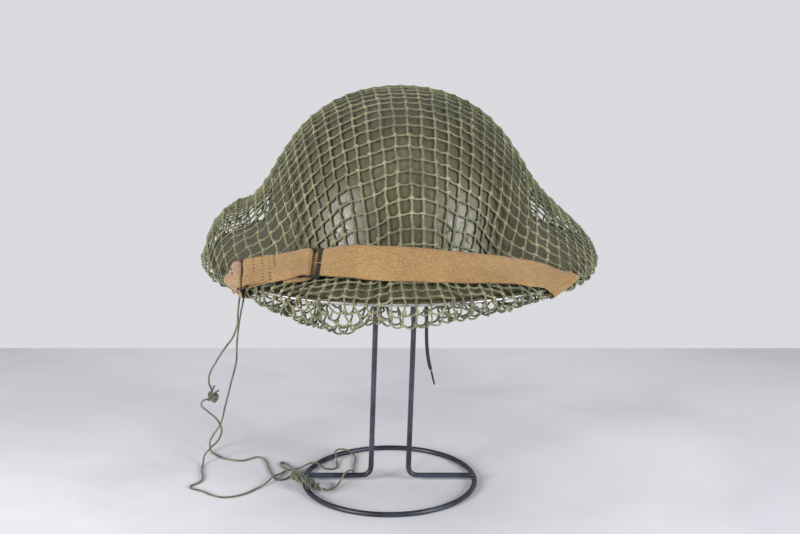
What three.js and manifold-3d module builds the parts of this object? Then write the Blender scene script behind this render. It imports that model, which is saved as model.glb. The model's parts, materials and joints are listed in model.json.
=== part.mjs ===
// Shallow steel helmet with a wide brim, under a knotted net cover, with its webbing chin strap pulled over
// the front of the brim, held up by a wire stand.
// Millimetres, +Z up, the wearer's face towards -Y. The origin is on the table, below the middle of the brim.
import * as THREE from "three";
import { mergeVertices } from "three/addons/utils/BufferGeometryUtils.js";
import Module from "manifold-3d";

const wasm = await Module();
wasm.setup();

// Driving dimensions
const rimHeight = 184.5; // table to the middle of the brim's edge
const sheetThick = 1.0; // steel sheet
const planSquareness = 0.15; // how far the brim's plan bulges past an ellipse
const aroundCount = 40; // facets round the bowl

const bandThick = 2.8; // folded edging round the brim
const bandDepth = 6;
const bandWall = 0.55;
const bandReach = 1.4; // how far it stands past the sheet's edge
const bandRound = 0.8; // its corners are cut this far
const bandRoot = 0.95; // solid metal at the fold

const netWall = 1.5;
const netClear = 0.5; // shell to net
const netEdgeLift = 1; // more room at the brim's edge, for the edging
const frontAzimuth = -90; // the side that the wearer looks out of
const netHugAngle = 36; // the strap holds the net down this far to either side of the front
const netFreeAngle = 62; // from here on round the back the net stands free of the valley

const strapWidth = 25;
const strapThick = 1.5;

const wireSize = 4; // stand wire
const standX = -8.2; // middle of the base ring
const standY = -7;
const baseRingRadius = 66;
const uprightSpacing = 29;
const uprightLean = 0.034; // sideways run of the uprights per unit of height
const wireBend = 8;
const topRingRadius = 57;
const topRingHeight = 280.6;
const weldSink = 0.5; // how far one wire is pressed into the other at a weld
const weldPast = 0.4; // how far a wire's end runs past the ring it is welded to

const twineSize = 1.6;
const laceSize = 2.8;
const laceTipSize = 1.7;

// The bowl's outer face, from the crown to the brim's edge: height over the edge, half width and half length.
const bowlRows = [
  { up: 119.5, halfWidth: 0, halfLength: 0 },
  { up: 118, halfWidth: 19, halfLength: 21 },
  { up: 113, halfWidth: 38.5, halfLength: 42.5 },
  { up: 102.5, halfWidth: 57.5, halfLength: 64 },
  { up: 88, halfWidth: 73, halfLength: 81 },
  { up: 70, halfWidth: 85.5, halfLength: 94 },
  { up: 52, halfWidth: 93, halfLength: 101.5 },
  { up: 36, halfWidth: 97, halfLength: 105.5 },
  { up: 24, halfWidth: 99.5, halfLength: 108 },
  { up: 15, halfWidth: 102.3, halfLength: 110.8 },
  { up: 10, halfWidth: 106.5, halfLength: 115 },
  { up: 7.6, halfWidth: 112.5, halfLength: 120.5 },
  { up: 5.4, halfWidth: 122, halfLength: 129.3 },
  { up: 3, halfWidth: 132, halfLength: 139 },
  { up: 0.5, halfWidth: 142, halfLength: 148.5 },
];

// The net where it stands free, row for row beside the bowl: it bridges the valley between crown and brim.
const freeNetRows = [
  { up: 121.5, halfWidth: 0, halfLength: 0 },
  { up: 120, halfWidth: 19.3, halfLength: 21.3 },
  { up: 114.8, halfWidth: 39.3, halfLength: 43.3 },
  { up: 104.2, halfWidth: 59, halfLength: 65.5 },
  { up: 89.4, halfWidth: 75, halfLength: 83 },
  { up: 71, halfWidth: 88, halfLength: 96.5 },
  { up: 56, halfWidth: 97, halfLength: 105.5 },
  { up: 44, halfWidth: 106, halfLength: 114 },
  { up: 35, halfWidth: 114.5, halfLength: 122 },
  { up: 28, halfWidth: 121.5, halfLength: 128.5 },
  { up: 22, halfWidth: 128, halfLength: 135 },
  { up: 17, halfWidth: 133.5, halfLength: 140.5 },
  { up: 11.5, halfWidth: 138.5, halfLength: 145.5 },
  { up: 7, halfWidth: 142, halfLength: 148.5 },
  { up: 4, halfWidth: 144, halfLength: 150.3 },
];

// The net round the edge and back under the brim: out from the edge, height over it, share of the hanging depth.
const netUnderRows = [
  { out: 3.4, up: 0.6, hang: 0 },
  { out: 2.6, up: -2.8, hang: 0.3 },
  { out: -2, up: -3.8, hang: 0.85 },
  { out: -9, up: -4, hang: 1 },
  { out: -17, up: -3.6, hang: 0.8 },
  { out: -24, up: -2.6, hang: 0.4 },
  { out: -30, up: -1.4, hang: 0.05 },
];

// How deep the slack net hangs below the front of the brim, by azimuth.
const netHangRows = [
  { azimuth: -138, depth: 0 },
  { azimuth: -126, depth: 7 },
  { azimuth: -114, depth: 12 },
  { azimuth: -104, depth: 15 },
  { azimuth: -95, depth: 9 },
  { azimuth: -86, depth: 13 },
  { azimuth: -76, depth: 8 },
  { azimuth: -62, depth: 5 },
  { azimuth: -48, depth: 0 },
];

// Edges of the webbing pieces: foot is the edge nearer the brim's edge, head the one nearer the crown.
const webRows = [
  { foot: [-52.4, -117, 195.6], head: [-53.4, -96.8, 209.6] },
  { foot: [-33, -121.6, 195.4], head: [-33.5, -105.4, 214.2] },
  { foot: [-12, -124.6, 194.4], head: [-12, -110.8, 215] },
  { foot: [10, -125.4, 193.8], head: [10, -111.4, 214.4] },
  { foot: [33.5, -124.8, 193], head: [34, -107.6, 211] },
  { foot: [56, -122, 191.8], head: [56.5, -102.6, 207.4] },
  { foot: [78, -120, 190.6], head: [79.5, -98.4, 203.1] },
  { foot: [93, -119.4, 188.9], head: [98, -95, 198.7] },
  { foot: [102, -119.6, 186.8], head: [116, -93, 193.4] },
  { foot: [107.8, -120, 184.4], head: [130, -91, 188.6] },
  { foot: [108.4, -118.6, 179.6], head: [131, -89, 180.8] },
  { foot: [105.6, -110, 176.6], head: [128.6, -83, 176.8] },
  { foot: [100.5, -80, 177], head: [125, -76, 177] },
  { foot: [94, -52, 177.6], head: [118, -46, 177.2] },
  { foot: [89, -29, 182], head: [106, -14.5, 173.6] },
  { foot: [90.6, -17, 190.4], head: [99, 6, 187.6] },
  { foot: [96.6, -12.6, 199], head: [96.6, 12.4, 199] },
  { foot: [94.9, -12.5, 206], head: [94.9, 12.5, 206] },
];
const shortRows = [
  { foot: [-62, -117.2, 195], head: [-63.6, -95.8, 207.4] },
  { foot: [-75, -118.8, 193.8], head: [-77, -97.8, 207.2] },
  { foot: [-90, -119.6, 191.3], head: [-92.5, -98.4, 204.3] },
  { foot: [-105.5, -117.6, 187.6], head: [-107.8, -96, 200.2] },
];
const tabRows = [
  { foot: [-112.2, -116.2, 186.6], head: [-114.2, -95.2, 199] },
  { foot: [-112.6, -116.8, 184.8], head: [-119.6, -96.8, 195.2] },
  { foot: [-111.6, -116.4, 182.4], head: [-127.6, -94.4, 189] },
  { foot: [-110.6, -114.4, 178.6], head: [-128.6, -91, 181.4] },
  { foot: [-107, -107, 176.6], head: [-127, -84.4, 176.8] },
  { foot: [-100.5, -80, 177], head: [-125, -76, 177] },
  { foot: [-94, -52, 177.6], head: [-118, -46, 177.2] },
  { foot: [-89, -29, 182], head: [-106, -14.5, 173.6] },
  { foot: [-90.6, -17, 190.4], head: [-99, 6, 187.6] },
  { foot: [-96.6, -12.6, 199], head: [-96.6, 12.4, 199] },
  { foot: [-94.9, -12.5, 206], head: [-94.9, 12.5, 206] },
];
const tailDrop = 2.2; // the free end lies this far towards the foot edge of the short piece
const tailBelow = 2; // and this far under it
const tailReach = 0.42; // share of the short piece that it runs behind

// The buckle, measured along the strap from the middle of its grip.
const buckleThick = 1.6;
const buckleMargin = 2.2; // frame past the webbing's edges
const buckleBack = -3.4; // back bar
const buckleFront = 5.6; // ends of the side bars
const buckleBar = 2; // width of the back and side bars
const buckleSlot = 1.8; // open stretch in front of the back bar
const bucklePlate = 2.8; // grip plates in front of the slot
const buckleGapFoot = -2; // the plates leave this gap between them
const buckleGapHead = 1.4;
const buckleRest = { foot: [-58.2, -117.9, 195.8], head: [-59.6, -97, 209], along: [1, 0, 0] };

const loopWire = 1.8;
const loopHalf = 2.6; // half the loop's size along the strap
const loopMargin = 1.2; // loop past the webbing's edges
const loopRest = { foot: [-108.8, -116.9, 187.2], head: [-110.8, -95.5, 199.8], along: [1, 0, 0.3] };

const lugSize = { thick: 1.6, long: 22, high: 12 };
const lugAt = { x: 97.7, z: 204, tilt: THREE.MathUtils.degToRad(14) };

const studRadius = 3.2; // plain stud that the lace hangs from, under the crown
const studHeight = 3;
const studGap = 0.5; // lace to stud

// Cord routes, in order from the exit under the brim; the last stretch of each lies on the table.
const leftCordRoute = [
  [-111.9, 25, 181], [-115.6, 24.6, 170], [-120.2, 24.2, 155], [-123.6, 24, 143], [-126, 25, 127], [-126.4, 25.2, 119.5], [-130.5, 26, 107.5],
  [-137, 26.4, 98.5], [-145, 27, 86], [-150.4, 27.2, 75], [-150.6, 27.6, 69], [-148.6, 28, 61.5], [-150, 28, 56.4],
  [-156, 28.4, 54], [-157.6, 29, 50], [-152.6, 29.6, 44.4], [-146, 30, 38], [-142.2, 30.5, 28.5], [-145.4, 31, 19.5],
  [-152, 31.5, 12.6], [-156.6, 32, 6.6], [-157.6, 27, 1.4], [-157, 14, 0.9], [-154.6, 1, 0.9], [-155, -8.4, 0.9],
  [-158, -13.2, 0.9], [-161, -16.4, 0.9], [-161.2, -20.6, 0.9], [-157.2, -23.8, 0.9], [-150, -28, 0.9],
  [-143.6, -34.4, 0.9], [-133.4, -39, 0.9], [-124.4, -36.6, 0.9], [-116.8, -31, 0.9], [-110.6, -23, 0.9],
  [-104.4, -14.6, 1.4], [-99, -4.4, 2.9], [-94.4, 5.2, 1.4], [-90.4, 10.4, 1.6], [-86.1, 10.5, 3],
];
const rightCordRoute = [
  [-110, 27.6, 181.4], [-112.6, 27, 170], [-116.8, 26.4, 155], [-120, 26.2, 144], [-123.6, 29.6, 129], [-126, 33, 118], [-128.8, 37, 99],
  [-130, 40, 83], [-134.4, 42.4, 66.5], [-137.6, 44.6, 54.5], [-141, 47, 42], [-145.6, 51.2, 26], [-151.6, 54, 16],
  [-155.6, 57, 7.6], [-154.6, 54, 1.4], [-149, 46, 0.9], [-141, 38, 0.9], [-133, 34.6, 0.9], [-126.6, 34, 0.9],
  [-121.4, 37.2, 0.9], [-116, 41.6, 0.9], [-111, 39.6, 0.9], [-107.4, 31.6, 0.9], [-103.6, 15, 0.9],
  [-99.2, 0.4, 0.9], [-94.6, -5.6, 0.9], [-90, -3.8, 0.9], [-85.4, 0, 2],
];
const loopCordRoute = [
  [-58.6, -36.2, 6.9], [-55, -29, 2.4], [-50.6, -20.8, 0.9], [-46.4, -14.6, 3.2], [-43, -10.2, 8], [-40, -7, 9],
  [-37.6, -3, 8], [-36.4, 2.4, 3.4], [-36.6, 12, 0.9], [-37, 24, 0.9], [-36.2, 35, 0.9], [-36.8, 43.6, 1],
  [-40.2, 46.6, 3], [-44.4, 46.6, 5.3], [-48.8, 46.8, 5.6], [-51.6, 44.2, 5.5], [-52, 39.4, 4.9], [-51, 33, 1.4],
  [-50.2, 25.6, 0.9], [-50.6, 19, 0.9], [-54.6, 16.2, 0.9], [-59.4, 17, 1], [-63.6, 18.2, 4], [-68.8, 18, 5.7],
  [-74.4, 16.8, 4.4], [-79.4, 12.4, 3.2], [-82.7, 10.2, 3.3],
];
const laceRoute = [
  [15.6, 9, 297.2], [16, 9, 270], [17.4, 9, 230], [19.4, 9, 180], [20.4, 9, 140], [20.6, 9, 108], [22.2, 9, 93],
  [24, 9, 86],
];
const laceTipRoute = [[24.12, 9, 85.6], [26.8, 9, 74]];
const middleKnotAt = [-148.4, 28, 58.6];
const middleKnotSize = 7.5;
const baseKnotRoute = [[-84.6, 9.6, 3.4], [-80.4, -8, 5.2], [-75.4, -20, 8.2], [-68.4, -31, 8.6], [-60, -37.6, 7.6]];
const baseKnotGirth = [2.6, 3.2, 3.2, 3.9, 2.8];
const knotSteps = 16;
const knotSides = 10;

const steel = material("#5d6048", 0.5, 0.3);
const edging = material("#8d9080", 0.45, 0.6);
const blackened = material("#4a4440", 0.5, 0.7);
const webbing = material("#b98f58", 0.95, 0);
const twine = material("#7c8460", 0.95, 0);
const darkLace = material("#26262a", 0.8, 0);
const standPaint = material("#20242c", 0.4, 0.4);

function material(color, roughness, metalness) {
  return new THREE.MeshStandardMaterial({ color, roughness, metalness });
}

function vector(point) {
  return new THREE.Vector3(...point);
}

// A smooth value between table rows: the column is read by key, and u counts rows from the first one.
function readRows(rows, key, u) {
  const last = rows.length - 1;
  const at = Math.min(Math.floor(u), last - 1);
  const t = u - at;
  const value = (i) => {
    if (i < 0) return key === "up" ? rows[1][key] : -rows[1][key];
    if (i > last) return 2 * rows[last][key] - rows[last - 1][key];
    return rows[i][key];
  };
  const [a, b, c, d] = [value(at - 1), value(at), value(at + 1), value(at + 2)];
  return b + 0.5 * t * (c - a + t * (2 * a - 5 * b + 4 * c - d + t * (3 * (b - c) + d - a)));
}

// A point of the plan curve with these half axes, a little squarer than an ellipse near the brim's edge.
function planPoint(halfWidth, halfLength, azimuth) {
  const rimHalfWidth = bowlRows.at(-1).halfWidth;
  const power = 2 / (2 + planSquareness * (halfWidth / rimHalfWidth) ** 2);
  const c = Math.cos(azimuth);
  const s = Math.sin(azimuth);
  return [
    halfWidth * Math.sign(c) * Math.abs(c) ** power,
    halfLength * Math.sign(s) * Math.abs(s) ** power,
  ];
}

function tablePoint(rows, u, azimuth) {
  const [x, y] = planPoint(readRows(rows, "halfWidth", u), readRows(rows, "halfLength", u), azimuth);
  return new THREE.Vector3(x, y, rimHeight + readRows(rows, "up", u));
}

// Moves a surface point along the surface's outward normal.
function offsetPoint(surface, u, azimuth, distance) {
  const step = 0.01;
  const point = surface(u, azimuth);
  if (u < step) return point.setZ(point.z + distance);
  const across = surface(u, azimuth + step).sub(surface(u, azimuth - step));
  const along = surface(u + step, azimuth).sub(surface(u - step, azimuth));
  return point.addScaledVector(along.cross(across).normalize(), distance);
}

const bowlSurface = (u, azimuth) => tablePoint(bowlRows, u, azimuth);

function smoothStep(value, low, high) {
  const t = THREE.MathUtils.clamp((value - low) / (high - low), 0, 1);
  return t * t * (3 - 2 * t);
}

// 0 where the strap holds the net down at the front, 1 where it stands free.
function netFreedom(azimuth) {
  const degrees = THREE.MathUtils.radToDeg(azimuth) - frontAzimuth;
  const fromFront = Math.abs(((degrees + 540) % 360) - 180);
  return smoothStep(fromFront, netHugAngle, netFreeAngle);
}

function netHang(azimuth) {
  const degrees = ((THREE.MathUtils.radToDeg(azimuth) + 540) % 360) - 180;
  const i = netHangRows.findIndex((row) => row.azimuth > degrees);
  if (i < 1) return 0;
  const [a, b] = [netHangRows[i - 1], netHangRows[i]];
  return a.depth + (b.depth - a.depth) * smoothStep(degrees, a.azimuth, b.azimuth);
}

// Middle of the net's wall: over the bowl down to the edge, then round it and back under the brim.
function netSurface(u, azimuth) {
  const lastRow = bowlRows.length - 1;
  if (u <= lastRow) return netOverBowl(u, azimuth);
  const under = (i) => {
    if (i === 0) return netOverBowl(lastRow, azimuth);
    const { out, up, hang } = netUnderRows[Math.min(i, netUnderRows.length) - 1];
    const rim = bowlRows[lastRow];
    const [x, y] = planPoint(rim.halfWidth + out, rim.halfLength + out, azimuth);
    return new THREE.Vector3(x, y, rimHeight + up - hang * netHang(azimuth));
  };
  const at = Math.min(Math.floor(u - lastRow), netUnderRows.length - 1);
  return under(at).lerp(under(at + 1), u - lastRow - at);
}

function netOverBowl(u, azimuth) {
  const lastRow = bowlRows.length - 1;
  const lift = netEdgeLift * smoothStep(u, lastRow - 2, lastRow);
  const held = offsetPoint(bowlSurface, u, azimuth, netClear + netWall / 2 + lift);
  return held.lerp(tablePoint(freeNetRows, u, azimuth), netFreedom(azimuth));
}

// A closed skin over rings of points. A ring of one point is a pole; other end rings are capped,
// unless the rings themselves close into a loop.
function skin(rings, looped = false) {
  const points = rings.flat();
  const starts = [];
  let count = 0;
  for (const ring of rings) {
    starts.push(count);
    count += ring.length;
  }
  const index = [];
  const bands = looped ? rings.length : rings.length - 1;
  for (let r = 0; r < bands; r++) {
    const next = (r + 1) % rings.length;
    const [a, b] = [rings[r].length, rings[next].length];
    for (let i = 0; i < Math.max(a, b); i++) {
      const [a0, a1] = [starts[r] + (i % a), starts[r] + ((i + 1) % a)];
      const [b0, b1] = [starts[next] + (i % b), starts[next] + ((i + 1) % b)];
      if (a > 1) index.push(a0, a1, b0);
      if (b > 1) index.push(a1, b1, b0);
    }
  }
  if (!looped) {
    capRing(index, starts[0], rings[0].length, true);
    capRing(index, starts.at(-1), rings.at(-1).length, false);
  }
  return outward(points, index);
}

function capRing(index, start, length, reversed) {
  for (let i = 1; i + 1 < length; i++) {
    const [b, c] = reversed ? [start + i + 1, start + i] : [start + i, start + i + 1];
    index.push(start, b, c);
  }
}

// Builds the geometry with its faces pointing out.
function outward(points, index) {
  let volume = 0;
  for (let i = 0; i < index.length; i += 3) {
    const [a, b, c] = [points[index[i]], points[index[i + 1]], points[index[i + 2]]];
    volume += a.dot(b.clone().cross(c));
  }
  if (volume < 0) {
    for (let i = 0; i < index.length; i += 3) {
      [index[i + 1], index[i + 2]] = [index[i + 2], index[i + 1]];
    }
  }
  const geometry = new THREE.BufferGeometry().setFromPoints(points);
  geometry.setIndex(index);
  return geometry;
}

function around(count, make) {
  return Array.from({ length: count }, (_, i) => make((i / count) * 2 * Math.PI));
}

// A wall between two offsets of a surface that starts at a pole.
function domeWall(surface, stations, inner, outer) {
  const ring = (u, distance) =>
    u === 0
      ? [offsetPoint(surface, 0, 0, distance)]
      : around(aroundCount, (azimuth) => offsetPoint(surface, u, azimuth, distance));
  const down = stations.map((u) => ring(u, outer));
  const up = stations.map((u) => ring(u, inner)).reverse();
  return skin([...down, ...up]);
}

// Where the bowl's and the net's rings lie, counted in rows of their tables.
const bowlStations = [0, 0.6, 1.2, 1.8, 2.4, 3, 3.6, 4.2, 5, 6, 7, 8, 8.6, 9.3, 10, 10.7, 11.5, 12.7, 14];

function steelShell() {
  return domeWall(bowlSurface, bowlStations, -sheetThick, 0);
}

// A folded channel over the brim's edge.
function rimBand() {
  const half = bandThick / 2;
  const slot = half - bandWall;
  const tip = bandReach;
  const back = bandReach - bandDepth;
  const section = [
    [back, half], [tip - bandRound, half], [tip, half - bandRound], [tip, bandRound - half],
    [tip - bandRound, -half], [back, -half], [back, -slot], [tip - bandRoot, -slot],
    [tip - bandRoot, slot], [back, slot],
  ];
  const last = bowlRows.length - 1;
  return skin(
    around(aroundCount, (azimuth) => {
      const edge = offsetPoint(bowlSurface, last, azimuth, -sheetThick / 2);
      const inside = offsetPoint(bowlSurface, last - 1, azimuth, -sheetThick / 2);
      const out = edge.clone().sub(inside).normalize();
      const side = new THREE.Vector3(-Math.sin(azimuth), Math.cos(azimuth), 0);
      const rise = out.clone().cross(side).normalize();
      return section.map(([a, b]) => edge.clone().addScaledVector(out, a).addScaledVector(rise, b));
    }),
    true,
  );
}

function netCover() {
  const last = bowlStations.at(-1);
  const underStations = netUnderRows.map((_, i) => last + 1 + i);
  return domeWall(netSurface, [...bowlStations, ...underStations], -netWall / 2, netWall / 2);
}

// A flat band between two edge curves, as thick on one side of them as on the other.
function webBand(rows, steps, thick) {
  const feet = new THREE.CatmullRomCurve3(rows.map((row) => vector(row.foot)), false, "centripetal");
  const heads = new THREE.CatmullRomCurve3(rows.map((row) => vector(row.head)), false, "centripetal");
  const rings = [];
  for (let i = 0; i <= steps; i++) {
    const [foot, head] = [feet.getPoint(i / steps), heads.getPoint(i / steps)];
    const along = feet.getTangent(i / steps).add(heads.getTangent(i / steps));
    const normal = along.cross(head.clone().sub(foot)).normalize();
    rings.push([
      foot.clone().addScaledVector(normal, -thick / 2),
      foot.clone().addScaledVector(normal, thick / 2),
      head.clone().addScaledVector(normal, thick / 2),
      head.clone().addScaledVector(normal, -thick / 2),
    ]);
  }
  return skin(rings);
}

// The free end of the long piece: the same webbing, below the short piece and set towards its foot edge.
function tailRows() {
  const rows = [];
  for (const share of [0, 0.5, 1]) {
    const u = share * tailReach * (shortRows.length - 1);
    const i = Math.floor(u);
    const mix = (key) => vector(shortRows[i][key]).lerp(vector(shortRows[i + 1][key]), u - i);
    const [foot, head] = [mix("foot"), mix("head")];
    const across = foot.clone().sub(head).normalize();
    const under = new THREE.Vector3(1, 0, 0).cross(across).normalize();
    if (under.z > 0) under.negate();
    const shift = across.multiplyScalar(tailDrop).addScaledVector(under, tailBelow);
    rows.push({ foot: foot.add(shift).toArray(), head: head.add(shift).toArray() });
  }
  return rows;
}

// A smooth route that never dips below what a cord of this size lies on.
class LaidRoute extends THREE.CatmullRomCurve3 {
  constructor(route, size) {
    super(route.map(vector), false, "centripetal");
    this.lowest = size / 2;
  }

  getPoint(t, target) {
    const point = super.getPoint(t, target);
    point.z = Math.max(point.z, this.lowest);
    return point;
  }
}

function tube(route, size, sides, steps) {
  return sweep(new LaidRoute(route, size), size, sides, steps);
}

function sweep(extrudePath, size, sides, steps) {
  const section = new THREE.Shape(
    around(sides, (angle) => {
      const turned = angle + Math.PI / sides;
      return new THREE.Vector2(Math.cos(turned), Math.sin(turned)).multiplyScalar(size / 2);
    }),
  );
  return new THREE.ExtrudeGeometry(section, { steps, extrudePath, bevelEnabled: false });
}

// Joins closed geometries into one solid.
function join(geometries) {
  const solids = geometries.map((geometry) => {
    const bare = geometry.clone();
    bare.deleteAttribute("normal");
    bare.deleteAttribute("uv");
    const merged = mergeVertices(bare, 1e-3);
    return new wasm.Manifold(
      new wasm.Mesh({
        numProp: 3,
        vertProperties: new Float32Array(merged.attributes.position.array),
        triVerts: new Uint32Array(merged.index.array),
      }),
    );
  });
  const mesh = solids.reduce((all, solid) => all.add(solid)).getMesh();
  const geometry = new THREE.BufferGeometry();
  geometry.setAttribute("position", new THREE.BufferAttribute(mesh.vertProperties, 3));
  geometry.setIndex(new THREE.BufferAttribute(mesh.triVerts, 1));
  return geometry;
}

// A wire ring lying flat, its eight-sided section resting on a facet.
function wireRing(radius, height, x, facets) {
  const profile = around(8, (angle) => {
    const turned = angle + Math.PI / 8;
    const reach = wireSize / 2 / Math.cos(Math.PI / 8);
    return new THREE.Vector2(radius + reach * Math.cos(turned), reach * Math.sin(turned));
  });
  profile.push(profile[0].clone());
  const ring = new THREE.LatheGeometry(profile, facets);
  ring.rotateX(Math.PI / 2);
  return ring.translate(x, standY, height);
}

// One bent wire of the stand: along the base ring's crossbar, up the leaning upright, and out to the top ring.
function standWire(side) {
  const baseZ = 1.5 * wireSize - weldSink;
  const topZ = topRingHeight - wireSize + weldSink;
  const topX = standX + uprightLean * (topZ - baseZ);
  const corners = [
    [standX + side * (baseRingRadius + weldPast), baseZ],
    [standX + side * (uprightSpacing / 2), baseZ],
    [topX + side * (uprightSpacing / 2), topZ],
    [topX + side * (topRingRadius + weldPast), topZ],
  ].map(([x, z]) => new THREE.Vector3(x, standY, z));
  const path = new THREE.CurvePath();
  let from = corners[0];
  for (let i = 1; i < corners.length - 1; i++) {
    const before = corners[i].clone().lerp(corners[i - 1], wireBend / corners[i].distanceTo(corners[i - 1]));
    const after = corners[i].clone().lerp(corners[i + 1], wireBend / corners[i].distanceTo(corners[i + 1]));
    path.add(new THREE.LineCurve3(from, before));
    path.add(new THREE.QuadraticBezierCurve3(before, corners[i], after));
    from = after;
  }
  path.add(new THREE.LineCurve3(from, corners.at(-1)));
  return sweep(path, wireSize, 8, 60);
}

function wireStand() {
  const baseZ = wireSize / 2;
  const topX = standX + uprightLean * (topRingHeight - baseZ);
  return join([
    wireRing(baseRingRadius, baseZ, standX, 40),
    standWire(-1),
    standWire(1),
    wireRing(topRingRadius, topRingHeight, topX, 32),
  ]);
}

// A local frame on the strap: x along it, y from foot to head edge, z out of its face.
function strapFrame({ foot, head, along }) {
  const y = vector(head).sub(vector(foot)).normalize();
  const x = vector(along).addScaledVector(y, -vector(along).dot(y)).normalize();
  const z = x.clone().cross(y);
  const middle = vector(foot).add(vector(head)).multiplyScalar(0.5);
  return new THREE.Matrix4().makeBasis(x, y, z).setPosition(middle);
}

// Flat frame with a back bar, two side bars and two grip plates that leave a gap between them.
function buckle() {
  const end = strapWidth / 2 + buckleMargin;
  const side = end - buckleBar;
  const barFront = buckleBack + buckleBar;
  const plateBack = barFront + buckleSlot;
  const plateFront = plateBack + bucklePlate;
  const frame = new THREE.Shape([
    [buckleBack, -end], [buckleFront, -end], [buckleFront, -side], [plateFront, -side],
    [plateFront, buckleGapFoot], [plateBack, buckleGapFoot], [plateBack, -side], [barFront, -side],
    [barFront, side], [plateBack, side], [plateBack, buckleGapHead], [plateFront, buckleGapHead],
    [plateFront, side], [buckleFront, side], [buckleFront, end], [buckleBack, end],
  ].map(([x, y]) => new THREE.Vector2(x, y)));
  return flatPlate(frame, buckleThick);
}

// Rectangular wire loop between the short piece and the tab.
function wireLoop() {
  const rectangle = (x, y) =>
    [[-x, -y], [x, -y], [x, y], [-x, y]].map((corner) => new THREE.Vector2(...corner));
  const reach = strapWidth / 2 + loopMargin;
  const outline = new THREE.Shape(rectangle(loopHalf, reach));
  outline.holes.push(new THREE.Path(rectangle(loopHalf - loopWire, reach - loopWire).reverse()));
  return flatPlate(outline, loopWire);
}

// A shape made as thick on one side of its plane as on the other.
function flatPlate(shape, thick) {
  const plate = new THREE.ExtrudeGeometry(shape, { depth: thick, bevelEnabled: false });
  return plate.translate(0, 0, -thick / 2);
}

// A bundle of wound cord along a route: the girth values are its radii, evenly spaced, and its ends are blunt.
function woundKnot(route, girth) {
  const path = new THREE.CatmullRomCurve3(route.map(vector), false, "centripetal");
  const bluntness = 6;
  const endShare = 0.35; // radius left at the very ends
  const rings = [];
  for (let i = 0; i <= knotSteps; i++) {
    const t = i / knotSteps;
    const at = Math.min(Math.floor(t * (girth.length - 1)), girth.length - 2);
    const swell = THREE.MathUtils.lerp(girth[at], girth[at + 1], t * (girth.length - 1) - at);
    const end = Math.max(endShare, Math.sqrt(1 - Math.abs(2 * t - 1) ** bluntness));
    const middle = path.getPoint(t);
    const along = path.getTangent(t);
    const side = along.clone().cross(new THREE.Vector3(0, 0, 1)).normalize();
    const rise = side.clone().cross(along);
    rings.push(around(knotSides, (angle) => middle.clone()
      .addScaledVector(side, Math.cos(angle) * swell * end)
      .addScaledVector(rise, Math.sin(angle) * swell * end)));
  }
  return skin(rings);
}

const helmet = new THREE.Group();

function add(name, geometry, look, parent = helmet) {
  const mesh = new THREE.Mesh(geometry, look);
  mesh.name = name;
  parent.add(mesh);
  return mesh;
}

add("steel_shell", steelShell(), steel);
add("rim_band", rimBand(), edging);
add("net_cover", netCover(), twine);
add("chin_strap_web", webBand(webRows, 64, strapThick), webbing);
add("chin_strap_short", webBand(shortRows, 9, strapThick), webbing);
add("chin_strap_tab", webBand(tabRows, 40, strapThick), webbing);
add("chin_strap_tail", webBand(tailRows(), 6, strapThick), webbing);

for (const [name, side] of [["right", 1], ["left", -1]]) {
  const lug = add("strap_lug_" + name, new THREE.BoxGeometry(lugSize.thick, lugSize.long, lugSize.high), steel);
  lug.position.set(side * lugAt.x, 0, lugAt.z);
  lug.rotation.y = -side * lugAt.tilt;
}

add("strap_buckle", buckle(), blackened).applyMatrix4(strapFrame(buckleRest));
add("strap_loop", wireLoop(), blackened).applyMatrix4(strapFrame(loopRest));

const tiedKnot = new THREE.IcosahedronGeometry(middleKnotSize / 2, 1).translate(...middleKnotAt);
add("net_cord_left", join([tube(leftCordRoute, twineSize, 8, 72), tiedKnot]), twine);
add("net_cord_right", tube(rightCordRoute, twineSize, 8, 60), twine);
add("net_cord_loop", tube(loopCordRoute, twineSize, 8, 42), twine);
add("cord_knot_base", woundKnot(baseKnotRoute, baseKnotGirth), twine);

add("liner_lace", tube(laceRoute, laceSize, 8, 36), darkLace);
add("lace_tip", tube(laceTipRoute, laceTipSize, 8, 2), darkLace);
const stud = add("lace_stud", new THREE.CylinderGeometry(studRadius, studRadius, studHeight, 16), blackened);
const [studX, studY, laceTop] = laceRoute[0];
stud.rotation.x = Math.PI / 2;
stud.position.set(studX, studY, laceTop + studGap + studHeight / 2);

add("wire_stand", wireStand(), standPaint);

export default helmet;
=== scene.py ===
import json
import math

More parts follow.
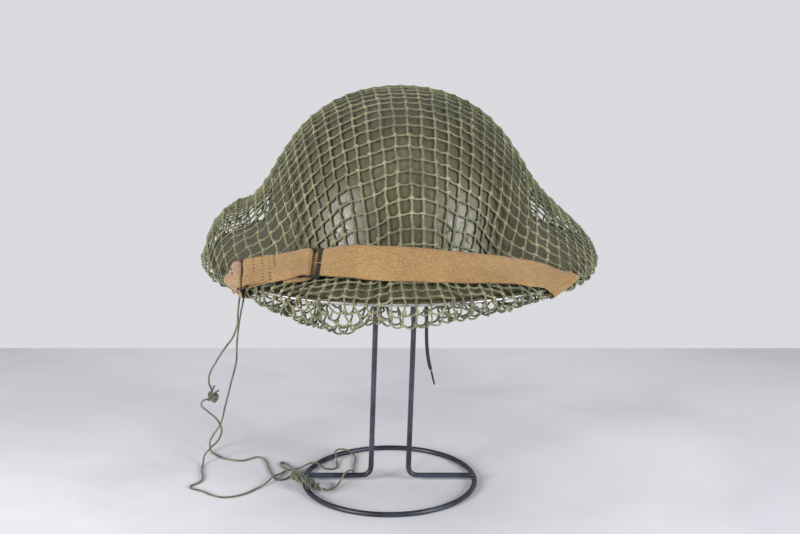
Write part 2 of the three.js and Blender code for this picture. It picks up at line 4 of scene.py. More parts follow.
import bmesh
import bpy
import numpy as np
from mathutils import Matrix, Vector

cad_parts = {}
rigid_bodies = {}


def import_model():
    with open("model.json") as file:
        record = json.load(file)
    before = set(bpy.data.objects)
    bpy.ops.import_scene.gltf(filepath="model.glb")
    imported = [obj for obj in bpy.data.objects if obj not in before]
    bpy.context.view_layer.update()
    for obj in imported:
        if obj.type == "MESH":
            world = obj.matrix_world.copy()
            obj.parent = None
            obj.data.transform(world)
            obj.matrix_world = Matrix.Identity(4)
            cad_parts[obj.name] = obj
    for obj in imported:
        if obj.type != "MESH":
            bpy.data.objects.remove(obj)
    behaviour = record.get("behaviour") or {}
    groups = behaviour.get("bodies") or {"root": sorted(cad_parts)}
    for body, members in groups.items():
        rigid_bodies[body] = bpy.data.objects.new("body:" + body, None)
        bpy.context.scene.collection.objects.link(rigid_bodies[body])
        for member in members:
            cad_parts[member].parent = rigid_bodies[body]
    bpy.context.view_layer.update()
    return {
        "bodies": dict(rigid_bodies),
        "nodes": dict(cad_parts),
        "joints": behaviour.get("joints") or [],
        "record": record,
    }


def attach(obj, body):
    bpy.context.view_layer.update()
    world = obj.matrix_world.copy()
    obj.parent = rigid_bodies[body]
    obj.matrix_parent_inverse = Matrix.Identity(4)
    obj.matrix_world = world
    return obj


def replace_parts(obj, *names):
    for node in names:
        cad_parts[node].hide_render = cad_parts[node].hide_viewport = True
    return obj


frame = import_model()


# puts a mesh, lamp or camera into the scene
def linked(name, data):
    thing = bpy.data.objects.new(name, data)
    bpy.context.scene.collection.objects.link(thing)
    return thing


# Camera.
cameraSetup = {
    "place": (0.0, -1.0824, 0.457),
    "lookDown": 14.8,  # degrees below level
    "lens": 66.87,
    "sensor": 36.0,
    "nearest": 0.05,
    "farthest": 20,
}

cameraData = bpy.data.cameras.new("viewCamera")
cameraData.lens = cameraSetup["lens"]
cameraData.sensor_width = cameraSetup["sensor"]
cameraData.clip_start = cameraSetup["nearest"]
cameraData.clip_end = cameraSetup["farthest"]
camera = linked("viewCamera", cameraData)
camera.location = cameraSetup["place"]
camera.rotation_euler = (math.radians(90 - cameraSetup["lookDown"]), 0, 0)
bpy.context.scene.camera = camera


# Small helpers for meshes.
def smoothStep(value, low, high):
    t = np.clip((np.asarray(value, float) - low) / (high - low), 0, 1)
    return t * t * (3 - 2 * t)


def unit(vectors):
    vectors = np.asarray(vectors, float)
    return vectors / np.maximum(np.linalg.norm(vectors, axis=-1, keepdims=True), 1e-12)


def blend(a, b, t):
    return np.asarray(a, float) * (1 - t) + np.asarray(b, float) * t


# facts as {name: one number or vector per point}
def writeFacts(mesh, facts):
    for key, values in facts.items():
        values = np.asarray(values, np.float32)
        kind = "FLOAT" if values.ndim == 1 else "FLOAT_VECTOR"
        layer = mesh.attributes.new(key, kind, "POINT")
        layer.data.foreach_set("value" if kind == "FLOAT" else "vector", values.ravel())


# points as an array, faces as index tuples, uv as one pair per point
def addPiece(name, points, faces, look, facts=None, uv=None, weld=False):
    mesh = bpy.data.meshes.new(name)
    mesh.from_pydata(np.asarray(points, float).tolist(), [], [tuple(int(i) for i in f) for f in faces])
    writeFacts(mesh, facts or {})
    if uv is not None:
        layer = mesh.uv_layers.new(name="weave")
        corner = np.zeros(len(mesh.loops), np.int32)
        mesh.loops.foreach_get("vertex_index", corner)
        layer.data.foreach_set("uv", np.asarray(uv, np.float32)[corner].ravel())
    if weld:
        weldMesh(mesh)
    turnOutward(mesh)
    mesh.shade_smooth()
    piece = linked(name, mesh)
    finishPiece(piece, look)
    return piece


def finishPiece(piece, look):
    piece.data.materials.clear()
    piece.data.materials.append(look)
    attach(piece, "root")


def weldMesh(mesh, distance=2e-6):
    work = bmesh.new()
    work.from_mesh(mesh)
    bmesh.ops.remove_doubles(work, verts=work.verts, dist=distance)
    bmesh.ops.dissolve_degenerate(work, edges=work.edges, dist=distance / 4)
    work.to_mesh(mesh)
    work.free()


# a closed mesh whose volume comes out negative is inside out
def turnOutward(mesh):
    mesh.calc_loop_triangles()
    points = np.zeros(len(mesh.vertices) * 3)
    mesh.vertices.foreach_get("co", points)
    points = points.reshape(-1, 3)
    triangles = np.zeros(len(mesh.loop_triangles) * 3, np.int32)
    mesh.loop_triangles.foreach_get("vertices", triangles)
    a, b, c = (points[triangles[i::3]] for i in range(3))
    if (a * np.cross(b, c)).sum() < 0:
        mesh.flip_normals()


# quads between rings of points, each ring a loop
def gridFaces(rings, sides, start=0, closed=False, capped=False):
    faces = []
    for r in range(rings if closed else rings - 1):
        here = start + r * sides
        after = start + (r + 1) % rings * sides
        for s in range(sides):
            t = (s + 1) % sides
            faces.append((here + s, here + t, after + t, after + s))
    if capped:
        faces.append(tuple(start + s for s in reversed(range(sides))))
        faces.append(tuple(start + (rings - 1) * sides + s for s in range(sides)))
    return faces


# a centripetal curve through the points, with the same count of steps from each to the next
def curveThrough(points, count=24):
    p = np.asarray(points, float)
    p = np.vstack([2 * p[0] - p[1], p, 2 * p[-1] - p[-2]])
    a, b, c, d = p[:-3], p[1:-2], p[2:-1], p[3:]
    steps = np.linalg.norm(np.diff(p, axis=0), axis=1) ** 0.5
    steps = np.maximum(steps, 1e-9)[:, None]
    gap = steps[:-2], steps[1:-1], steps[2:]
    leave = ((b - a) / gap[0] - (c - a) / (gap[0] + gap[1]) + (c - b) / gap[1]) * gap[1]
    reach = ((c - b) / gap[1] - (d - b) / (gap[1] + gap[2]) + (d - c) / gap[2]) * gap[1]
    t = np.linspace(0, 1, count, endpoint=False)[None, :, None]
    b, c, leave, reach = (k[:, None] for k in (b, c, leave, reach))
    line = (
        b + t * leave
        + t * t * (3 * (c - b) - 2 * leave - reach)
        + t ** 3 * (2 * (b - c) + leave + reach)
    )
    return np.vstack([line.reshape(-1, 3), p[-2]])


def evenSteps(line, spacing):
    far = farAlong(line)
    count = max(int(round(far[-1] / spacing)), 1)
    return readLine(line, far, np.linspace(0, far[-1], count + 1))


def smoothRoute(points, spacing):
    return evenSteps(curveThrough(points), spacing)


# how far along the line each of its points is
def farAlong(line):
    return np.concatenate([[0], np.cumsum(np.linalg.norm(np.diff(line, axis=0), axis=1))])


# the line's points where its known measure reaches the given values
def readLine(line, known, wanted):
    return np.stack([np.interp(wanted, known, line[:, k]) for k in range(3)], -1)


# along, side and rise at each point, turning as little as possible on the way
def pathFrames(line, closed=False):
    if closed:
        along = unit(np.roll(line, -1, 0) - np.roll(line, 1, 0))
    else:
        along = unit(np.gradient(line, axis=0))
    side = np.zeros_like(along)
    first = np.cross(along[0], (0, 0, 1))
    if np.linalg.norm(first) < 0.1:
        first = np.cross(along[0], (0, 1, 0))
    side[0] = unit(first)
    for i in range(1, len(line)):
        carried = side[i - 1] - along[i] * (side[i - 1] @ along[i])
        side[i] = unit(carried)
    if closed:
        carried = side[-1] - along[0] * (side[-1] @ along[0])
        miss = math.atan2(np.cross(unit(carried), side[0]) @ along[0], unit(carried) @ side[0])
        share = np.linspace(0, miss, len(line), endpoint=False)[:, None]
        side = side * np.cos(share) + np.cross(along, side) * np.sin(share)
    return along, side, np.cross(along, side)


# ring points and their attributes: lobes is how deep the groove between two twisted plies is
def tubeParts(line, radius, sides, closed=False, lobes=0.0, pitch=0.005, roundEnds=True):
    line = np.asarray(line, float)
    side, rise = pathFrames(line, closed)[1:]
    radius = np.broadcast_to(np.asarray(radius, float), (len(line),)).copy()
    if roundEnds and not closed:
        for inset, share in ((0, 0.45), (1, 0.85)):  # the last two rings of either end
            radius[inset] *= share
            radius[-1 - inset] *= share
    far = farAlong(line)
    angle = np.linspace(0, 2 * np.pi, sides, endpoint=False)
    turned = angle[None, :] - 2 * np.pi * far[:, None] / pitch
    reach = radius[:, None] * (1 - lobes + lobes * np.cos(turned) ** 2)
    spin = np.stack([np.cos(angle), np.sin(angle)], -1)
    points = (
        line[:, None]
        + side[:, None] * (reach * spin[:, 0])[..., None]
        + rise[:, None] * (reach * spin[:, 1])[..., None]
    )
    facts = {
        "alongTwine": np.repeat(far, sides),
        "roundTwine": np.stack([np.cos(turned), np.sin(turned), 0 * turned], -1).reshape(-1, 3),
    }
    return points.reshape(-1, 3), facts


# tubes: a list of (line, keyword arguments of tubeParts)
def addTubes(name, tubes, look):
    points, faces, facts = [], [], {"alongTwine": [], "roundTwine": []}
    start = 0
    for line, options in tubes:
        ring, fact = tubeParts(line, **options)
        count = len(line)
        closed = options.get("closed", False)
        faces += gridFaces(count, options["sides"], start, closed, capped=not closed)
        points.append(ring)
        for key in facts:
            facts[key].append(fact[key])
        start += len(ring)
    facts = {key: np.concatenate(value) for key, value in facts.items()}
    return addPiece(name, np.concatenate(points), faces, look, facts)


# Small helpers for materials.
def newLook(name):
    look = bpy.data.materials.new(name)
    look.use_nodes = True
    tree = look.node_tree
    tree.nodes.clear()
    end = tree.nodes.new("ShaderNodeOutputMaterial")
    body = tree.nodes.new("ShaderNodeBsdfPrincipled")
    tree.links.new(body.outputs["BSDF"], end.inputs["Surface"])
    return look, tree, body


# what every look has in the end, each a socket
def finishLook(tree, body, shade, roughness, normal):
    tree.links.new(shade, body.inputs["Base Color"])
    tree.links.new(roughness, body.inputs["Roughness"])
    tree.links.new(normal, body.inputs["Normal"])


# a fixed value is set on the socket itself
def feed(tree, socket, value):
    if isinstance(value, bpy.types.NodeSocket):
        tree.links.new(value, socket)
    else:
        socket.default_value = value


# a screen colour, 0 to 255, as the linear one that nodes take
def color(red, green, blue):
    values = []
    for v in (red, green, blue):
        v = v / 255
        values.append(v / 12.92 if v <= 0.04045 else ((v + 0.055) / 1.055) ** 2.4)
    return (*values, 1.0)


def objectPlace(tree):
    return tree.nodes.new("ShaderNodeTexCoord").outputs["Object"]


def stretched(tree, where, scale, turn=(0, 0, 0)):
    node = tree.nodes.new("ShaderNodeMapping")
    node.inputs["Scale"].default_value = scale
    node.inputs["Rotation"].default_value = turn
    tree.links.new(where, node.inputs["Vector"])
    return node.outputs["Vector"]


def noise(tree, where, scale, detail=3.0, rough=0.55, distort=0.0):
    node = tree.nodes.new("ShaderNodeTexNoise")
    tree.links.new(where, node.inputs["Vector"])
    node.inputs["Scale"].default_value = scale
    node.inputs["Detail"].default_value = detail
    node.inputs["Roughness"].default_value = rough
    node.inputs["Distortion"].default_value = distort
    return node.outputs["Fac"]


def between(tree, value, low, high, toLow=0.0, toHigh=1.0):
    node = tree.nodes.new("ShaderNodeMapRange")
    node.interpolation_type = "SMOOTHSTEP"
    feed(tree, node.inputs["Value"], value)
    node.inputs["From Min"].default_value = low
    node.inputs["From Max"].default_value = high
    node.inputs["To Min"].default_value = toLow
    node.inputs["To Max"].default_value = toHigh
    return node.outputs["Result"]


def calc(tree, operation, a, b=0.0, c=0.0):
    node = tree.nodes.new("ShaderNodeMath")
    node.operation = operation
    feed(tree, node.inputs[0], a)
    feed(tree, node.inputs[1], b)
    feed(tree, node.inputs[2], c)
    return node.outputs["Value"]


def mixed(tree, share, low, high, mode="MIX"):
    node = tree.nodes.new("ShaderNodeMix")
    node.data_type = "RGBA"
    node.blend_type = mode
    feed(tree, node.inputs[0], share)
    feed(tree, node.inputs[6], low)
    feed(tree, node.inputs[7], high)
    return node.outputs[2]


def raised(tree, height, distance, under=None):
    node = tree.nodes.new("ShaderNodeBump")
    node.inputs["Strength"].default_value = 1.0
    node.inputs["Distance"].default_value = distance
    feed(tree, node.inputs["Height"], height)
    if under is not None:
        feed(tree, node.inputs["Normal"], under)
    return node.outputs["Normal"]


def attributeOf(tree, name):
    node = tree.nodes.new("ShaderNodeAttribute")
    node.attribute_name = name
    return node.outputs


def axesOf(tree, vector):
    node = tree.nodes.new("ShaderNodeSeparateXYZ")
    tree.links.new(vector, node.inputs[0])
    return node.outputs


# how far along its tube a point is, and the angle it has turned round it
def tubePlace(tree):
    spin = axesOf(tree, attributeOf(tree, "roundTwine")["Vector"])
    return attributeOf(tree, "alongTwine")["Fac"], calc(tree, "ARCTAN2", spin["Y"], spin["X"])


# Twine, for the net and its cords.
twineLook = {
    "pale": color(140, 139, 104),
    "dark": color(95, 100, 72),
    # painted shade: near-black colour laid into the grooves between the plies, also used for dark flecks
    "groove": color(38, 40, 26),
    "dust": color(178, 175, 140),
    "plyPitch": 0.0042,  # one full turn of the two plies
    "grooveDepth": 0.00022,
    "fibreDepth": 0.00008,
}


# tone as a share of red, green and blue
def makeTwine(name, tone=None):
    look, tree, body = newLook(name)
    where = objectPlace(tree)
    along, angle = tubePlace(tree)
    phase = calc(tree, "MULTIPLY_ADD", along, 2 * math.pi / twineLook["plyPitch"], angle)
    ply = calc(tree, "ABSOLUTE", calc(tree, "COSINE", phase))
    fibre = noise(tree, where, 2600, 2, 0.6)
    groove = between(tree, ply, 0.02, 0.42)
    patch = noise(tree, where, 46, 3, 0.6)
    fleck = noise(tree, where, 900, 2, 0.5)
    shade = mixed(tree, between(tree, patch, 0.32, 0.68), twineLook["dark"], twineLook["pale"])
    shade = mixed(tree, between(tree, fleck, 0.60, 0.74, 0, 0.55), shade, twineLook["dust"])
    shade = mixed(tree, between(tree, fleck, 0.40, 0.28, 0, 0.45), shade, twineLook["groove"])
    # painted shade: the grooves between the two plies are darkened towards near black
    shade = mixed(tree, groove, twineLook["groove"], shade)
    if tone:
        shade = mixed(tree, 1.0, shade, (*tone, 1), "MULTIPLY")
    body.inputs["Sheen Weight"].default_value = 0.25
    body.inputs["Sheen Roughness"].default_value = 0.6
    body.inputs["Specular IOR Level"].default_value = 0.25
    coarse = raised(tree, groove, twineLook["grooveDepth"])
    normal = raised(tree, fibre, twineLook["fibreDepth"], coarse)
    finishLook(tree, body, shade, between(tree, fibre, 0.3, 0.7, 0.8, 0.98), normal)
    return look


netTwine = makeTwine("netTwine")
# the knots get a lighter copy of the net's twine: a painted highlight on the raised knots
knotTwineHighlight = makeTwine("knotTwineHighlight", (1.14, 1.14, 1.14))
cordTwine = makeTwine("cordTwine", (0.72, 0.76, 0.92))

# Free cords: down from the net's hem, in a tangle on the table.
cordBuild = {
    "size": 0.0016,
    "step": 0.0006,
    "sides": 10,
    "lobes": 0.18,
    "plyPitch": 0.005,
    "clear": 0.0001,  # over the table
}

leftCordRoute = [
    (-0.1119, 0.025, 0.181), (-0.1156, 0.0246, 0.17), (-0.1202, 0.0242, 0.155),
    (-0.1236, 0.024, 0.143), (-0.126, 0.025, 0.127), (-0.1264, 0.0252, 0.1195),
    (-0.1305, 0.026, 0.1075), (-0.137, 0.0264, 0.0985), (-0.145, 0.027, 0.086),
    (-0.1504, 0.0272, 0.075), (-0.1506, 0.0276, 0.069), (-0.1486, 0.028, 0.0615),
    (-0.15, 0.028, 0.0564), (-0.156, 0.0284, 0.054), (-0.1576, 0.029, 0.05),
    (-0.1526, 0.0296, 0.0444), (-0.146, 0.03, 0.038), (-0.1422, 0.0305, 0.0285),
    (-0.1454, 0.031, 0.0195), (-0.152, 0.0315, 0.0126), (-0.1566, 0.032, 0.0066),
    (-0.1576, 0.027, 0.0014), (-0.157, 0.014, 0.0009), (-0.1546, 0.001, 0.0009),
    (-0.155, -0.0084, 0.0009), (-0.158, -0.0132, 0.0009), (-0.161, -0.0164, 0.0009),
    (-0.1612, -0.0206, 0.0009), (-0.1572, -0.0238, 0.0009), (-0.15, -0.028, 0.0009),
    (-0.1436, -0.0344, 0.0009), (-0.1334, -0.039, 0.0009), (-0.1244, -0.0366, 0.0009),
    (-0.1168, -0.031, 0.0009), (-0.1106, -0.023, 0.0009), (-0.1044, -0.0146, 0.0014),
    (-0.099, -0.0044, 0.0029), (-0.0944, 0.0052, 0.0014), (-0.0904, 0.0104, 0.0016),
    (-0.0861, 0.0105, 0.003),
]

rightCordRoute = [
    (-0.11, 0.0276, 0.1814), (-0.1126, 0.027, 0.17), (-0.1168, 0.0264, 0.155),
    (-0.12, 0.0262, 0.144), (-0.1236, 0.0296, 0.129), (-0.126, 0.033, 0.118),
    (-0.1288, 0.037, 0.099), (-0.13, 0.04, 0.083), (-0.1344, 0.0424, 0.0665),
    (-0.1376, 0.0446, 0.0545), (-0.141, 0.047, 0.042), (-0.1456, 0.0512, 0.026),
    (-0.1516, 0.054, 0.016), (-0.1556, 0.057, 0.0076), (-0.1546, 0.054, 0.0014),
    (-0.149, 0.046, 0.0009), (-0.141, 0.038, 0.0009), (-0.133, 0.0346, 0.0009),
    (-0.1266, 0.034, 0.0009), (-0.1214, 0.0372, 0.0009), (-0.116, 0.0416, 0.0009),
    (-0.111, 0.0396, 0.0009), (-0.1074, 0.0316, 0.0009), (-0.1036, 0.015, 0.0009),
    (-0.0992, 0.0004, 0.0009), (-0.0946, -0.0056, 0.0009), (-0.09, -0.0038, 0.0009),
    (-0.0854, 0, 0.002),
]

loopCordRoute = [
    (-0.0586, -0.0362, 0.0069), (-0.055, -0.029, 0.0024), (-0.0506, -0.0208, 0.0009),
    (-0.0464, -0.0146, 0.0032), (-0.043, -0.0102, 0.008), (-0.04, -0.007, 0.009),
    (-0.0376, -0.003, 0.008), (-0.0364, 0.0024, 0.0034), (-0.0366, 0.012, 0.0009),
    (-0.037, 0.024, 0.0009), (-0.0362, 0.035, 0.0009), (-0.0368, 0.0436, 0.001),
    (-0.0402, 0.0466, 0.003), (-0.0444, 0.0466, 0.0053), (-0.0488, 0.0468, 0.0056),
    (-0.0516, 0.0442, 0.0055), (-0.052, 0.0394, 0.0049), (-0.051, 0.033, 0.0014),
    (-0.0502, 0.0256, 0.0009), (-0.0506, 0.019, 0.0009), (-0.0546, 0.0162, 0.0009),
    (-0.0594, 0.017, 0.001), (-0.0636, 0.0182, 0.004), (-0.0688, 0.018, 0.0057),
    (-0.0744, 0.0168, 0.0044), (-0.0794, 0.0124, 0.0032), (-0.0827, 0.0102, 0.0033),
]

baseKnotRoute = [
    (-0.0846, 0.0096, 0.0034), (-0.0804, -0.008, 0.0052), (-0.0754, -0.02, 0.0082),
    (-0.0684, -0.031, 0.0086), (-0.06, -0.0376, 0.0076),
]


def layCord(name, route, replacedNode):
    line = smoothRoute(route, cordBuild["step"])
    line[:, 2] = np.maximum(line[:, 2], cordBuild["size"] / 2 + cordBuild["clear"])
    options = {
        "radius": cordBuild["size"] / 2,
        "sides": cordBuild["sides"],
        "lobes": cordBuild["lobes"],
        "pitch": cordBuild["plyPitch"],
    }
    piece = addTubes(name, [(line, options)], cordTwine)
    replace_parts(piece, replacedNode)
    return piece, line


leftCord, leftLine = layCord("net_cord_left_twine", leftCordRoute, "net_cord_left")
rightCord, rightLine = layCord("net_cord_right_twine", rightCordRoute, "net_cord_right")
loopCord, loopLine = layCord("net_cord_loop_twine", loopCordRoute, "net_cord_loop")

# The knot halfway down, with the two frayed ends that stand out of it.
middleKnot = {
    "place": (-0.1481, 0.028, 0.0572),
    "reach": 0.0039,
    "twine": 0.0029,
    "tilt": 0.6,
    "endTwine": 0.0015,
    "endStep": 0.0005,
    "ends": [
        [(-0.1489, 0.0275, 0.0585), (-0.1484, 0.028, 0.0622), (-0.1466, 0.0285, 0.0668)],
        [(-0.1478, 0.0275, 0.0585), (-0.146, 0.0272, 0.0612), (-0.1426, 0.027, 0.0634)],
    ],
}


# a closed trefoil, tightened into a ball
def overhandLine(place, reach, tilt, count=130):
    t = np.linspace(0, 2 * np.pi, count, endpoint=False)
    flat = np.stack([np.sin(t) + 2 * np.sin(2 * t), np.cos(t) - 2 * np.cos(2 * t), -1.9 * np.sin(3 * t)], -1)
    flat *= reach / 3
    c, s = math.cos(tilt), math.sin(tilt)
    turn = np.array([[c, 0, s], [0, 1, 0], [-s, 0, c]])
    return flat @ turn.T + np.array(place)


knotLine = overhandLine(middleKnot["place"], middleKnot["reach"], middleKnot["tilt"])
knotTubes = [(knotLine, {"radius": middleKnot["twine"] / 2, "sides": 12, "lobes": 0.25, "closed": True})]
for points in middleKnot["ends"]:
    endLine = smoothRoute(points, middleKnot["endStep"])
    knotTubes.append((endLine, {"radius": middleKnot["endTwine"] / 2, "sides": 8, "lobes": 0.2}))
middleKnotPiece = addTubes("net_cord_middle_knot", knotTubes, cordTwine)

# The big knot on the stand's foot: strands that run along it and a few that hold them together.
baseKnot = {
    "girth": (0.0026, 0.0034, 0.0032, 0.0042, 0.003),
    "twine": 0.0017,
    "core": 0.003,
    "coreStep": 0.0015,
    "loose": 0.00025,
    "stepsPerTurn": 22,
    # from and to along the knot, turns round it, first angle, share of the girth
    "strands": [
        (0, 1, 2.4, 0, 0.9),
        (0.02, 0.98, 2.1, 1.6, 0.96),
        (0, 0.94, 2.9, 3.2, 0.9),
        (0.05, 1, 2.6, 4.7, 0.98),
        (0.2, 0.33, 3, 0.6, 1.12),
        (0.74, 0.98, 3, 2, 1.1),
        (0.42, 0.6, 2, 4, 1.16),
    ],
    # a small loop that comes out of the knot's end
    "smallLoop": [
        (-0.0846, 0.0106, 0.0034), (-0.087, 0.0195, 0.0014), (-0.0909, 0.0266, 0.0009),
        (-0.0942, 0.0312, 0.0009), (-0.0958, 0.0268, 0.0009), (-0.0938, 0.0208, 0.0009),
        (-0.0898, 0.0152, 0.0011), (-0.084, 0.0074, 0.0036),
    ],
}


# a strand wound round its part of the big knot
def woundLine(first, last, turns, start, fullness):
    radius = baseKnot["twine"] / 2
    middle = smoothRoute(baseKnotRoute, cordBuild["step"])
    side, rise = pathFrames(middle)[1:]
    share = np.linspace(first, last, int(20 + baseKnot["stepsPerTurn"] * turns))
    known = np.linspace(0, 1, len(middle))
    middle, side, rise = (readLine(table, known, share) for table in (middle, side, rise))
    girth = np.interp(share, np.linspace(0, 1, len(baseKnot["girth"])), baseKnot["girth"])
    drawnIn = 1 - 0.5 * np.abs(2 * share - 1) ** 8  # at the knot's two ends
    reach = (girth * fullness - radius) * drawnIn + baseKnot["loose"] * np.sin(share * 47 + start)
    part = (share - first) / (last - first)
    angle = start + 2 * np.pi * turns * part + 0.4 * np.sin(share * 31)
    line = middle + side * (reach * np.cos(angle))[:, None]
    line += rise * (reach * np.sin(angle))[:, None]
    line[:, 2] = np.maximum(line[:, 2], radius)
    return line


baseTubes = []
for strand in baseKnot["strands"]:
    baseTubes.append((woundLine(*strand), {"radius": baseKnot["twine"] / 2, "sides": 8, "lobes": 0.2}))
coreLine = smoothRoute(baseKnotRoute, baseKnot["coreStep"])
baseTubes.append((coreLine, {"radius": baseKnot["core"] / 2, "sides": 8, "lobes": 0.25}))
smallLine = smoothRoute(baseKnot["smallLoop"], cordBuild["step"])
baseTubes.append((smallLine, {"radius": cordBuild["size"] / 2, "sides": 8, "lobes": cordBuild["lobes"]}))
baseKnotPiece = addTubes("cord_knot_windings", baseTubes, cordTwine)
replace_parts(baseKnotPiece, "cord_knot_base")

print("cords laid")

# Lace that hangs from the stud under the crown.
laceBuild = {
    "size": 0.0028,
    "step": 0.001,
    "tipSize": 0.0017,
    "tipStep": 0.0008,
    "tipGirth": ((0, 1.12), (0.12, 0.95), (0.85, 0.9), (1, 0.7)),  # share of its way, share of its size
    "braidPitch": 0.0045,
    "dark": color(24, 24, 27),
    "worn": color(66, 64, 66),
    "tipDark": color(30, 29, 31),
}

laceRoute = [
    (0.0156, 0.009, 0.2972), (0.016, 0.009, 0.27), (0.0174, 0.009, 0.23), (0.0194, 0.009, 0.18),
    (0.0204, 0.009, 0.14), (0.0206, 0.009, 0.108), (0.0222, 0.009, 0.093), (0.024, 0.009, 0.086),
]

laceTipRoute = [(0.02412, 0.009, 0.0856), (0.0268, 0.009, 0.074)]


def makeLace():
    look, tree, body = newLook("laceBraid")
    where = objectPlace(tree)
    along, angle = tubePlace(tree)
    twist = calc(tree, "MULTIPLY", angle, 3)
    turn = 2 * math.pi / laceBuild["braidPitch"]
    oneWay = calc(tree, "SINE", calc(tree, "MULTIPLY_ADD", along, turn * 4, twist))
    otherWay = calc(tree, "SINE", calc(tree, "MULTIPLY_ADD", along, turn * -2, twist))
    braid = calc(tree, "MULTIPLY", oneWay, otherWay)
    fuzz = noise(tree, where, 1800, 2, 0.6)
    shade = mixed(tree, between(tree, braid, -0.3, 0.7), laceBuild["dark"], laceBuild["worn"])
    shade = mixed(tree, between(tree, fuzz, 0.35, 0.7, 0, 0.5), shade, laceBuild["dark"])
    body.inputs["Sheen Weight"].default_value = 0.15
    normal = raised(tree, braid, 0.00018, raised(tree, fuzz, 0.00006))
    finishLook(tree, body, shade, between(tree, fuzz, 0.3, 0.7, 0.65, 0.9), normal)
    return look


def makeLaceTip():
    look, tree, body = newLook("laceTipSleeve")
    where = objectPlace(tree)
    rub = noise(tree, where, 420, 4, 0.6)
    shade = mixed(tree, between(tree, rub, 0.45, 0.7), laceBuild["tipDark"], laceBuild["worn"])
    finishLook(tree, body, shade, between(tree, rub, 0.3, 0.7, 0.25, 0.5), raised(tree, rub, 0.00005))
    return look


laceLine = smoothRoute(laceRoute, laceBuild["step"])
laceOptions = {
    "radius": laceBuild["size"] / 2,
    "sides": 16,
    "lobes": 0.06,
    "pitch": laceBuild["braidPitch"] * 2,
}
lacePiece = addTubes("hanging_lace", [(laceLine, laceOptions)], makeLace())
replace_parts(lacePiece, "liner_lace")
tipLine = smoothRoute(laceTipRoute, laceBuild["tipStep"])
tipGirth = np.interp(np.linspace(0, 1, len(tipLine)), *zip(*laceBuild["tipGirth"]))
tipOptions = {"radius": tipGirth * laceBuild["tipSize"] / 2, "sides": 16}
tipPiece = addTubes("hanging_lace_tip", [(tipLine, tipOptions)], makeLaceTip())
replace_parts(tipPiece, "lace_tip")
print("lace hung")

# Steel shell.
shellBuild = {
    "rimHeight": 0.1845,
    "thick": 0.001,
    "squareness": 0.15,  # how far the brim's plan bulges past an ellipse
    "around": 208,  # points round each ring
    "stepsPerRow": 8,
    "dents": 0.0002,
    "olive": color(78, 76, 52),
    "oliveLight": color(92, 89, 64),
    "oliveBrown": color(80, 66, 48),
    "dusty": color(112, 108, 94),
    # painted light: a lighter, dusty olive for the brim's top, where the lamps leave it dark
    "brimPaintedLight": color(120, 114, 84),
    "scuff": color(58, 48, 40),
    "steel": color(118, 112, 104),
}

# height over the edge, half width, half length
bowlRows = [
    (0.1195, 0, 0),
    (0.118, 0.019, 0.021),
    (0.113, 0.0385, 0.0425),
    (0.1025, 0.0575, 0.064),
    (0.088, 0.073, 0.081),
    (0.07, 0.0855, 0.094),
    (0.052, 0.093, 0.1015),
    (0.036, 0.097, 0.1055),
    (0.024, 0.0995, 0.108),
    (0.015, 0.1023, 0.1108),
    (0.01, 0.1065, 0.115),
    (0.0076, 0.1125, 0.1205),
    (0.0054, 0.122, 0.1293),
    (0.003, 0.132, 0.139),
    (0.0005, 0.142, 0.1485),
]


# a smooth curve through one column of the rows, read at row u
def readRows(rows, column, u):
    values = np.array([row[column] for row in rows], float)
    sign = 1 if column == 0 else -1
    padded = np.concatenate([[sign * values[1]], values, [2 * values[-1] - values[-2]]])
    at = np.minimum(np.floor(u).astype(int), len(values) - 2)
    t = u - at
    a, b, c, d = padded[at], padded[at + 1], padded[at + 2], padded[at + 3]
    return b + 0.5 * t * (c - a + t * (2 * a - 5 * b + 4 * c - d + t * (3 * (b - c) + d - a)))


# azimuth is 0 at the right, a quarter turn at the back
def planPoint(halfWidth, halfLength, azimuth):
    power = 2 / (2 + shellBuild["squareness"] * (halfWidth / bowlRows[-1][1]) ** 2)
    c, s = np.cos(azimuth), np.sin(azimuth)
    return halfWidth * np.sign(c) * np.abs(c) ** power, halfLength * np.sign(s) * np.abs(s) ** power


def tablePoint(rows, u, azimuth):
    x, y = planPoint(readRows(rows, 1, u), readRows(rows, 2, u), azimuth)
    return np.stack([x, y, shellBuild["rimHeight"] + readRows(rows, 0, u) + 0 * x], -1)


def bowlSurface(u, azimuth):
    return tablePoint(bowlRows, u, azimuth)


def surfaceNormal(surface, u, azimuth, step=0.01):
    across = surface(u, azimuth + step) - surface(u, azimuth - step)
    along = surface(u + step, azimuth) - surface(np.maximum(u - step, 0), azimuth)
    normal = np.cross(along, across)
    size = np.linalg.norm(normal, axis=-1, keepdims=True)
    return np.where(size > 1e-12, normal / np.maximum(size, 1e-12), np.array([0.0, 0.0, 1.0]))


def offsetPoint(surface, u, azimuth, distance):
    return surface(u, azimuth) + surfaceNormal(surface, u, azimuth) * np.asarray(distance)[..., None]


